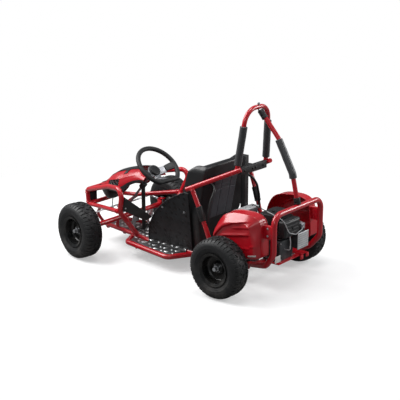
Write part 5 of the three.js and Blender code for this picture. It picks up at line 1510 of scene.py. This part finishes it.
class KART_OT_steering(bpy.types.Operator):
    """Adds the steering wheel, column, knuckles and tie rods"""

    bl_idname = "kart.steering"
    bl_label = "Steering"

    def execute(self, context):
        ready(self.grip(), "wheel_grip", "grip_rubber", "grip", "steering_wheel_rim", body="steering")
        spokes = joined([self.spoke(degrees, tip) for degrees, tip in SPOKES])
        ready(spokes, "wheel_spokes", "steel_bare", "steel", body="steering")
        covers = joined([self.cover(degrees) for degrees in COVERED])
        ready(covers, "wheel_spoke_covers", "plastic_black", "plastic", body="steering")
        dress("steering_wheel_pad", "wheel_pad", "plastic_black", "steering", "plastic", 4, 3, 40, 40)
        room = lathe(SPOKE_ROOM, 48, WHEEL_HUB, COLUMN_LEAN @ Vector((0, 0, 1)))
        column = cut(copy_of("steering_column"), room)
        discard(room)
        dress("steering_column", "column_shaft", "steel_bare", "steering", "steel", 0.9, 2, 40, 50, column)
        dress("steering_post", "column_post", "powder_black", "frame", "black", 0.8, 2, 50, 50)
        for _, name in SIDES:
            knuckle, rod = "knuckle_" + name, "tie_rod_" + name
            dress(knuckle, "stub_axle_" + name, "zinc", knuckle, "steel", 0.7, 2, 50, 50)
            dress(rod, "track_rod_" + name, "zinc", rod, "steel", 0.6, 2, 50, 50)
        return {"FINISHED"}

    def grip(self):
        """The wheel's rim, a ring that is nearly flat at the top."""
        count = 96
        points = []
        for k in range(count):
            angle = 2 * math.pi * k / count
            high = min(RIM_RADIUS * math.sin(angle), FLAT_TOP + FLAT_WAVE * math.cos(angle * 3))
            points.append(WHEEL_HUB + COLUMN_LEAN @ Vector((RIM_RADIUS * math.cos(angle), high, 0)) * MM)
        return smooth(along(points, GRIP_RADIUS, True), 60)

    def spoke(self, degrees, tip):
        """A bare steel spoke, flat at the hub and rising to the rim."""
        under, over_bend = SPOKE_BEND_X
        high = SPOKE_LOW + SPOKE_THICK
        outline = [(SPOKE_ROOT, SPOKE_LOW), (under, SPOKE_LOW), (tip, -SPOKE_TIP_HALF), (tip, SPOKE_TIP_HALF),
                   (over_bend, high), (SPOKE_ROOT, high)]
        count = len(outline)
        points = []
        for side in (-1, 1):
            for away, up in outline:
                wide = SPOKE_HALF_WIDE - SPOKE_NARROWS * (away - SPOKE_ROOT) / (tip - SPOKE_ROOT)
                points.append(Vector((away, side * wide, up)))
        faces = [tuple(range(count)), tuple(range(2 * count - 1, count - 1, -1))]
        faces += [(k, k + count, (k + 1) % count + count, (k + 1) % count) for k in range(count)]
        made = self.onto_wheel(from_points(points, [], faces), degrees)
        return smooth(eased(cleaned(made), 1.2, 2), 40)

    def cover(self, degrees):
        """A moulded cover round the outer end of a spoke, wider at the rim."""
        made = cube()
        for vertex in made.data.vertices:
            away, wide, high = COVER_ENDS[vertex.co.x > 0]
            vertex.co = Vector((away, vertex.co.y * wide, COVER_THICK * vertex.co.z + high))
        return smooth(eased(self.onto_wheel(made, degrees), 3.5, 3, 40), 40)

    def onto_wheel(self, piece, degrees):
        """Turns a piece made along the wheel's own first axis to an angle and puts it on the wheel."""
        turned = Matrix.Diagonal((MM, MM, MM, 1)) @ Matrix.Rotation(math.radians(degrees), 4, "Z")
        piece.data.transform(Matrix.Translation(WHEEL_HUB) @ COLUMN_LEAN.to_matrix().to_4x4() @ turned)
        return piece


# Controls and drive, as rows of node, piece, finish, body, slot and how far the edges are rounded

PEDALS = [
    ("pedal_bracket", "pedal_stand", "powder_black", "frame", "black", 0.8),
    ("brake_pedal", "pedal_brake", "zinc", "brake_pedal", "steel", 0.8),
    ("throttle_pedal", "pedal_throttle", "zinc", "throttle_pedal", "steel", 0.8),
]
CABLES = [
    ("brake_cable", "brake_line", BRAKE_CABLE, "cable_black", "tyre"),
    ("throttle_cable", "throttle_line", THROTTLE_CABLE, "cable_two_tone", "steel"),
]
DRIVE = [
    ("rear_axle", "axle_bar", "zinc", "rear_axle", "steel", 0.8),
    ("axle_sprocket", "sprocket_ring", "steel_bare", "rear_axle", "steel", 0.4),
    ("brake_disc", "disc_plate", "steel_bare", "rear_axle", "steel", 0.4),
    ("axle_bearing_left", "bearing_left", "powder_black", "frame", "black", 1.0),
    ("axle_bearing_right", "bearing_right", "powder_black", "frame", "black", 1.0),
    ("brake_caliper", "caliper_body", "alloy_cast", "frame", "casting", 1.0),
    ("drive_chain", "chain_loop", "steel_bare", "frame", "steel", 0.4),
    ("clutch", "clutch_drum", "steel_bare", "clutch", "steel", 0.5),
]


class KART_OT_controls(bpy.types.Operator):
    """Adds the pedals, their bracket and the control cables"""

    bl_idname = "kart.controls"
    bl_label = "Controls"

    def execute(self, context):
        for row in PEDALS:
            dress(*row, edges=40)
        for node, name, corners, look, slot in CABLES:
            ready(pipe(corners, CABLE_RADIUS, CABLE_BEND, 4), name, look, slot, node)
        return {"FINISHED"}


class KART_OT_drive(bpy.types.Operator):
    """Adds the rear axle, sprocket, brake, bearings, chain and clutch"""

    bl_idname = "kart.drive"
    bl_label = "Rear drive"

    def execute(self, context):
        for row in DRIVE:
            dress(*row)
        return {"FINISHED"}


# Engine, its castings and covers as rows of the same kind

ENGINE = [
    ("engine_block", "engine_casting", "engine_dark", "frame", "casting", 1.6),
    ("blower_housing", "blower_cover", "plastic_black", "frame", "plastic", 2.0),
    ("fuel_tank", "tank_shell", "plastic_black", "frame", "plastic", 5.0),
    ("air_box", "air_box_cover", "plastic_black", "frame", "plastic", 4.0),
    ("muffler", "muffler_body", "engine_dark", "frame", "casting", 3.0),
]
# Blocks as limits of x, y and z and the rounding of their edges; drums as their ends' heights, the
# radius, the sides and the rounding
CARBURETTOR_BLOCKS = [
    ((-118.6, -85.4), (671.4, 712.6), (298, 334.6), 3), ((-121, -83), (712, 716), (301, 331), 2),
    ((-96, -90), (716, 719), (306, 329), 1),
]
CARBURETTOR_X, CARBURETTOR_Y = -102, 692
CARBURETTOR_DRUMS = [((276, 300), 15, 32, 2), ((333, 339), 13, 32, 1.4)]
CARBURETTOR_SCREWS = [(x, 716, z) for x in (-115, -89) for z in (305, 327)]
TANK_BANDS = [
    ((-71.2, 93.2), (554.8, 669.2), (376, 380), 1.2), ((-40, 62), (600, 624), (407, 409.4), 1),
]
REAR_BRACKET = ((98, 148), (707, 709), (166, 203), 0.8)
# The muffler's guard: its left and lower edge, its width and height, and its cells of which every
# other one is a hole
MUFFLER_GUARD_X, MUFFLER_GUARD_Z, MUFFLER_GUARD_WIDE, MUFFLER_GUARD_HIGH = -135, 201, 102, 92
MUFFLER_GUARD_Y, MUFFLER_GUARD_CELLS = 732, (17, 15)
MUFFLER_GUARD_BENT, MUFFLER_GUARD_BENT_SHARE = 3, 0.05
MUFFLER_GUARD_POSTS = [(x, z) for x in (-128, -40) for z in (208, 286)]
# The air box's lid: its left and lower edge, its width and height, and the grooves across it
LID_X, LID_Y, LID_Z, LID_WIDE, LID_HIGH = -52, 722.2, 297, 130, 80
LID_RISE, LID_EDGE, LID_GROOVE_SHARES = 3.2, 7, (0.26, 0.5, 0.74)
LID_GROOVE_DEEP, LID_GROOVE_WIDE_SHARE, LID_GROOVE_FROM_SHARE = 1.5, 0.035, 0.1
LID_BOSS = (13, 337)
CASE_BOLTS, CASE_BOLT = [(x, 686.2, z) for x in (-44, 66) for z in (162, 252)], (4, 3.4)
FOOT_BOLTS, FOOT_BOLT = [(x, y, 152.2) for x in (-84, 92) for y in (596, 672)], (5, 5)


class KART_OT_engine(bpy.types.Operator):
    """Adds the engine with its blower, tank, air box, carburettor, muffler and small fittings"""

    bl_idname = "kart.engine"
    bl_label = "Engine"

    def execute(self, context):
        for row in ENGINE:
            dress(*row, 3, 40)
        ready(self.carburettor(), "carburettor", "steel_bare", "casting")
        ready(self.muffler_guard(), "muffler_guard", "guard_grey", "casting")
        ready(self.air_lid(), "air_box_lid", "plastic_black", "plastic")
        heads = [bolt(at(*point), (0, 1, 0), *CASE_BOLT) for point in CASE_BOLTS]
        heads += [bolt(at(*point), (0, 0, 1), *FOOT_BOLT) for point in FOOT_BOLTS]
        ready(joined(heads), "engine_bolts", "zinc", "steel")
        ready(pipe(BREATHER, 2.8, 12), "breather_tube", "guard_grey", "plastic")
        ready(joined([block(*limits) for limits in TANK_BANDS]), "tank_band", "powder_black", "plastic")
        ready(block(*REAR_BRACKET), "rear_bracket", "plate_pale", "steel")
        return {"FINISHED"}

    def carburettor(self):
        """The casting beside the air box, with its bowl, cap, throttle arm and screws."""
        parts = [block(*limits) for limits in CARBURETTOR_BLOCKS]
        for heights, *size in CARBURETTOR_DRUMS:
            parts.append(drum(*(at(CARBURETTOR_X, CARBURETTOR_Y, z) for z in heights), *size))
        return joined(parts + [bolt(at(*point), (0, 1, 0), 2.6, 2, False) for point in CARBURETTOR_SCREWS])

    def muffler_guard(self):
        """A bent sheet with rows of square holes behind the muffler."""
        columns, rows = MUFFLER_GUARD_CELLS

        def place(u, v):
            bent = MUFFLER_GUARD_BENT * swell(min(u, 1 - u, v, 1 - v), MUFFLER_GUARD_BENT_SHARE)
            x, z = MUFFLER_GUARD_X + MUFFLER_GUARD_WIDE * u, MUFFLER_GUARD_Z + MUFFLER_GUARD_HIGH * v
            return at(x, MUFFLER_GUARD_Y - bent, z)

        def is_hole(point):
            column = int((point.x / MM - MUFFLER_GUARD_X) / MUFFLER_GUARD_WIDE * columns)
            row = int((point.z / MM - MUFFLER_GUARD_Z) / MUFFLER_GUARD_HIGH * rows)
            inner = 0 < column < columns - 1 and 0 < row < rows - 1
            return inner and column % 2 == 1 and row % 2 == 1

        sheet = cleaned(thickened(pruned(skin(columns, rows, place), is_hole), 1.6, 0))
        posts = [drum(at(x, MUFFLER_GUARD_Y - 8, z), at(x, MUFFLER_GUARD_Y - 1, z), 3, 12, 0.4)
                 for x, z in MUFFLER_GUARD_POSTS]
        return smooth(joined([sheet, *posts]), 30)

    def air_lid(self):
        """The lid on the air box: a raised panel with three long grooves and a wing nut's boss."""
        def place(u, v):
            from_edge = min(min(u, 1 - u) * LID_WIDE, min(v, 1 - v) * LID_HIGH)
            rise = LID_RISE * math.sin(min(from_edge / LID_EDGE, 1) * math.pi / 2)
            if LID_GROOVE_FROM_SHARE < u < 1 - LID_GROOVE_FROM_SHARE:
                grooves = (swell(v - share, LID_GROOVE_WIDE_SHARE) for share in LID_GROOVE_SHARES)
                rise -= LID_GROOVE_DEEP * sum(grooves)
            return at(LID_X + LID_WIDE * u, LID_Y + rise, LID_Z + LID_HIGH * v)

        x, z = LID_BOSS
        boss = drum(at(x, 724, z), at(x, 730, z), 7, 24, 1)
        return smooth(joined([pressed(60, 60, place, 1.2), boss]), 45)


# Rear fender: its side outline as (y, z), its width, the crease over its side, its pressed ribs as
# (start, end, height, width), and its strip's start, its run and its width

FENDER_OUTLINE = [
    (402, 300), (416, 363), (450, 414), (500, 438), (560, 446), (622, 446), (664, 434), (688, 404),
    (696, 340), (701, 256), (690, 224), (640, 213), (560, 208), (480, 214), (420, 246),
]
FENDER_X, FENDER_WALL, FENDER_EDGE_RADIUS = (196, 300), 2.4, 2.6
# The share of the grid's rows on the wall round the outline; the rest run in to the side's middle
WALL_ROWS_SHARE, ROWS_POWER = 0.3, 1.35
MIDDLE_Y, MIDDLE_Z, MIDDLE_SLOPE = (470, 620), 322, 0.12
# The shoulder's width, wider up high and to the rear between these heights and places
SHOULDER, SHOULDER_HIGH, SHOULDER_REAR, SHOULDER_Z, SHOULDER_Y = 16, 28, 20, (300, 400), (600, 680)
BEVEL_SHARE, BEVEL_POWER = 0.86, 1.1
FENDER_BROW = [(402, 290), (430, 326), (470, 368), (536, 396), (590, 410), (634, 418), (700, 426)]
BROW_FADE_Y, BROW_RECESS, BROW_EASE, BROW_END = (585, 660), 8.5, (0, 7), (70, 150)
BROW_LIP, BROW_LIP_LOW, BROW_LIP_WIDE = 2.2, 3, 4.5
FENDER_RIBS = [
    ((452, 312), (640, 350), 6.5, 11), ((536, 368), (644, 390), 4.0, 9), ((560, 262), (650, 276), 2.5, 8),
    ((652, 286), (704, 300), 3.0, 7),
]
RIB_STARTS_SHARE, RIB_ENDS_SHARE, RIB_UNDER_SHARE, RIB_MOST = (-0.08, 0.12), (0.92, 1.08), 0.45, 1.5
STRIP_START, STRIP_RUN, STRIP_WIDE, STRIP_OFF = (640, 232), (48, 9), 9, 0.9
LUG_BOLTS_X, LUG_BOLTS_Y, LUG_BOLTS_Z = 231.6, 716, (385, 345)


class KART_OT_fenders(bpy.types.Operator):
    """Adds the two rear fenders with their creases, rolled edges and bolts"""

    bl_idname = "kart.fenders"
    bl_label = "Fenders"

    def execute(self, context):
        self.outline = closed_curve(FENDER_OUTLINE, 9)
        edge_x = FENDER_X[0] + FENDER_EDGE_RADIUS
        for side, name in SIDES:
            ready(self.shell(side), "fender_shell_" + name, "shell_red", "shell", "fender_" + name)
            edge = along([at(side * edge_x, y, z) for y, z in self.outline], FENDER_EDGE_RADIUS, True, 3)
            ready(edge, "fender_edge_" + name, "shell_red", "shell")
            ready(self.strip(side), "fender_strip_" + name, "plate_pale", "shell")
            places = [(side * LUG_BOLTS_X, LUG_BOLTS_Y, z) for z in LUG_BOLTS_Z]
            bolts("fender_bolts_" + name, "zinc", places, (side, 0, 0), *CLAMP_BOLT)
        return {"FINISHED"}

    def shell(self, side):
        """The wall round the outline, rolled over its shoulder into the sculpted side."""
        count = len(self.outline)

        def place(u, v):
            share = (u % 1.0) * count
            i = int(share) % count
            y, z = (between(a, b, share - int(share))
                    for a, b in zip(self.outline[i], self.outline[(i + 1) % count]))
            if v < WALL_ROWS_SHARE:
                return at(side * between(FENDER_X[0], self.face(y, z), v / WALL_ROWS_SHARE), y, z)
            inward = ((v - WALL_ROWS_SHARE) / (1 - WALL_ROWS_SHARE)) ** ROWS_POWER
            middle_y = min(max(y, MIDDLE_Y[0]), MIDDLE_Y[1])
            middle_z = MIDDLE_Z + MIDDLE_SLOPE * (middle_y - MIDDLE_Y[0])
            y, z = between(y, middle_y, inward), between(z, middle_z, inward)
            return at(side * self.face(y, z), y, z)

        made = cleaned(skin(150, 64, place), 0.3)
        return smooth(thickened(made, FENDER_WALL), 60)

    def edge_distance(self, y, z):
        """How far a point lies inside the outline."""
        best = math.inf
        for (y0, z0), (y1, z1) in zip(self.outline, self.outline[1:] + self.outline[:1]):
            dy, dz = y1 - y0, z1 - z0
            share = clamped(((y - y0) * dy + (z - z0) * dz) / (dy * dy + dz * dz))
            best = min(best, math.hypot(y - y0 - dy * share, z - z0 - dz * share))
        return best

    def face(self, y, z):
        """How far out the fender's surface lies at a point of its side view."""
        high, rear = step(*SHOULDER_Z, z), step(*SHOULDER_Y, y)
        out = FENDER_X[1] - self.rounding(self.edge_distance(y, z), high, rear)
        below = interpolated(FENDER_BROW, y) - z
        fade = 1 - step(*BROW_FADE_Y, y)
        out -= BROW_RECESS * step(*BROW_EASE, below) * fade * (1 - step(*BROW_END, below) * 0.7)
        out += BROW_LIP * swell(below + BROW_LIP_LOW, BROW_LIP_WIDE) * fade
        for (y0, z0), (y1, z1), height, wide in FENDER_RIBS:
            share = (y - y0) / (y1 - y0)
            off = z - between(z0, z1, share)
            window = step(*RIB_STARTS_SHARE, share) * (1 - step(*RIB_ENDS_SHARE, share))
            out += height * window * swell(off, wide if off > 0 else wide * RIB_UNDER_SHARE)
        return min(out, FENDER_X[1] + RIB_MOST)

    def rounding(self, inset, high, rear):
        """How far the shoulder falls back: round low down, and a flat bevel up high."""
        shoulder = SHOULDER + SHOULDER_HIGH * high + SHOULDER_REAR * rear * (1 - high * 0.6)
        if inset >= shoulder:
            return 0.0
        rounded = shoulder - math.sqrt(shoulder**2 - (shoulder - inset) ** 2)
        flat = BEVEL_SHARE * shoulder * (1 - inset / shoulder) ** BEVEL_POWER
        return between(rounded, flat, high)

    def strip(self, side):
        """A narrow pale strip low on the rear of the side."""
        def place(u, v):
            y = STRIP_START[0] + STRIP_RUN[0] * u
            z = STRIP_START[1] + STRIP_RUN[1] * u + STRIP_WIDE * v
            return at(side * (self.face(y, z) + STRIP_OFF), y, z)

        return smooth(pressed(16, 4, place, 0.8), 60)


# Studio

STAGE_SIZE, STAGE_GAP = 40, 0.0005
# The floor turns from lit grey to plain white between these distances from the kart
STAGE_FADES = (1.0, 2.4)
FLOOR_SEEN, FLOOR_LIFT, FLOOR_LIT, WHITE = (0.62, 0.62, 0.62), 0.40, (0.2, 0.2, 0.2), (1.0, 1.0, 1.0)
SKY, SKY_STRENGTH = (0.93, 0.96, 1.0), 0.24
# Lamps: place, size in metres and power in watts
LAMPS = {
    "key": ((1.2, -1.9, 2.6), 2.2, 132), "fill": ((3.9, 2.6, 2.6), 1.4, 24),
    "back": ((-2.4, 2.5, 1.8), 1.5, 70), "top": ((0.0, 0.6, 3.8), 1.6, 48),
}
LAMP_TARGET = Vector((0, 0, 0.4))
CAMERA_PLACE = (4.1233, 3.4492, 1.9500)
AZIMUTH, ELEVATION, ROLL = math.radians(129.517), math.radians(16.489), math.radians(-0.12)
CAMERA_LENS, CAMERA_SENSOR = 87.19, 36


def looking(thing, direction):
    """Turns a lamp or a camera to look along a direction."""
    thing.rotation_mode = "QUATERNION"
    thing.rotation_quaternion = direction.to_track_quat("-Z", "Y")


class KART_OT_stage(bpy.types.Operator):
    """Adds the floor, the lamps, the pale surroundings and the camera"""

    bl_idname = "kart.stage"
    bl_label = "Studio"

    def execute(self, context):
        self.floor()
        self.world(context.scene)
        self.lamps()
        self.camera(context.scene)
        context.scene.view_settings.view_transform = "Standard"
        return {"FINISHED"}

    def floor(self):
        """A plane that the camera sees as pale grey running out to white."""
        bpy.ops.mesh.primitive_plane_add(size=STAGE_SIZE, location=(0, 0, cad_box[0].z - STAGE_GAP))
        floor = placed(bpy.context.object)
        floor.name = "studio_floor"
        paint = Paint("studio_floor")
        glow = paint.node("Emission", None, {"Color": WHITE, "Strength": 1.0})
        lift = paint.node("Emission", None, {"Color": WHITE, "Strength": FLOOR_LIFT})
        grey, dim = (paint.node("BsdfDiffuse", None, {"Color": colour}) for colour in (FLOOR_SEEN, FLOOR_LIT))
        lit = paint.node("AddShader", None, {0: grey, 1: lift})
        distance = paint.node("VectorMath", {"operation": "LENGTH"}, {0: paint.place}, "Value")
        shown = paint.node("MixShader", None, {0: paint.between(distance, *STAGE_FADES), 1: lit, 2: glow})
        paint.ended("OutputMaterial", paint.node("MixShader", None, {0: paint.seen(), 1: dim, 2: shown}))
        floor.data.materials.append(paint.material)

    def world(self, scene):
        """A dim pale sky that the camera sees as white."""
        scene.world = bpy.data.worlds.new("studio")
        nodes = Nodes(scene.world)
        sky = nodes.node("Background", None, {"Color": SKY, "Strength": SKY_STRENGTH})
        white = nodes.node("Background", None, {"Color": WHITE, "Strength": 1.0})
        nodes.ended("OutputWorld", nodes.node("MixShader", None, {0: nodes.seen(), 1: sky, 2: white}))

    def lamps(self):
        """Soft boxes: a key and a fill beside the camera, one behind the kart and one above it."""
        for name, (place, size, power) in LAMPS.items():
            bpy.ops.object.light_add(type="AREA", location=place)
            lamp = bpy.context.object
            lamp.name = "lamp_" + name
            lamp.data.size = size
            lamp.data.energy = power
            looking(lamp, LAMP_TARGET - Vector(place))

    def camera(self, scene):
        """The photograph's view."""
        level_part = Vector((math.sin(AZIMUTH), -math.cos(AZIMUTH), 0)) * math.cos(ELEVATION)
        bpy.ops.object.camera_add(location=CAMERA_PLACE)
        camera = bpy.context.object
        camera.name = "camera"
        looking(camera, -level_part - Vector((0, 0, math.sin(ELEVATION))))
        camera.rotation_quaternion = camera.rotation_quaternion @ Quaternion((0, 0, 1), ROLL)
        camera.data.lens = CAMERA_LENS
        camera.data.sensor_width = CAMERA_SENSOR
        scene.camera = camera


class KART_PT_panel(bpy.types.Panel):
    """Lists the kart's sizes, colours and pieces"""

    bl_idname = "KART_PT_panel"
    bl_label = "Go kart"
    bl_space_type = "VIEW_3D"
    bl_region_type = "UI"
    bl_category = "Go kart"

    def draw(self, context):
        for group in (context.scene.kart_sizes, context.scene.kart_colours):
            for name in group.__annotations__:
                self.layout.prop(group, name)
        for operator in OPERATORS:
            self.layout.operator(operator.bl_idname)


OPERATORS = (
    KART_OT_stage,
    KART_OT_chassis,
    KART_OT_cage,
    KART_OT_foam,
    KART_OT_wheels,
    KART_OT_seat,
    KART_OT_floor,
    KART_OT_guards,
    KART_OT_cowl,
    KART_OT_steering,
    KART_OT_controls,
    KART_OT_drive,
    KART_OT_engine,
    KART_OT_fenders,
)
CLASSES = (KartSizes, KartColours, *OPERATORS, KART_PT_panel)


def register():
    for kind in CLASSES:
        bpy.utils.register_class(kind)
    bpy.types.Scene.kart_sizes = PointerProperty(type=KartSizes)
    bpy.types.Scene.kart_colours = PointerProperty(type=KartColours)


def unregister():
    del bpy.types.Scene.kart_colours
    del bpy.types.Scene.kart_sizes
    for kind in reversed(CLASSES):
        bpy.utils.unregister_class(kind)


def main():
    register()
    for operator in OPERATORS:
        group, name = operator.bl_idname.split(".")
        getattr(getattr(bpy.ops, group), name)()
    bpy.ops.object.select_all(action="DESELECT")


if __name__ == "__main__":
    main()
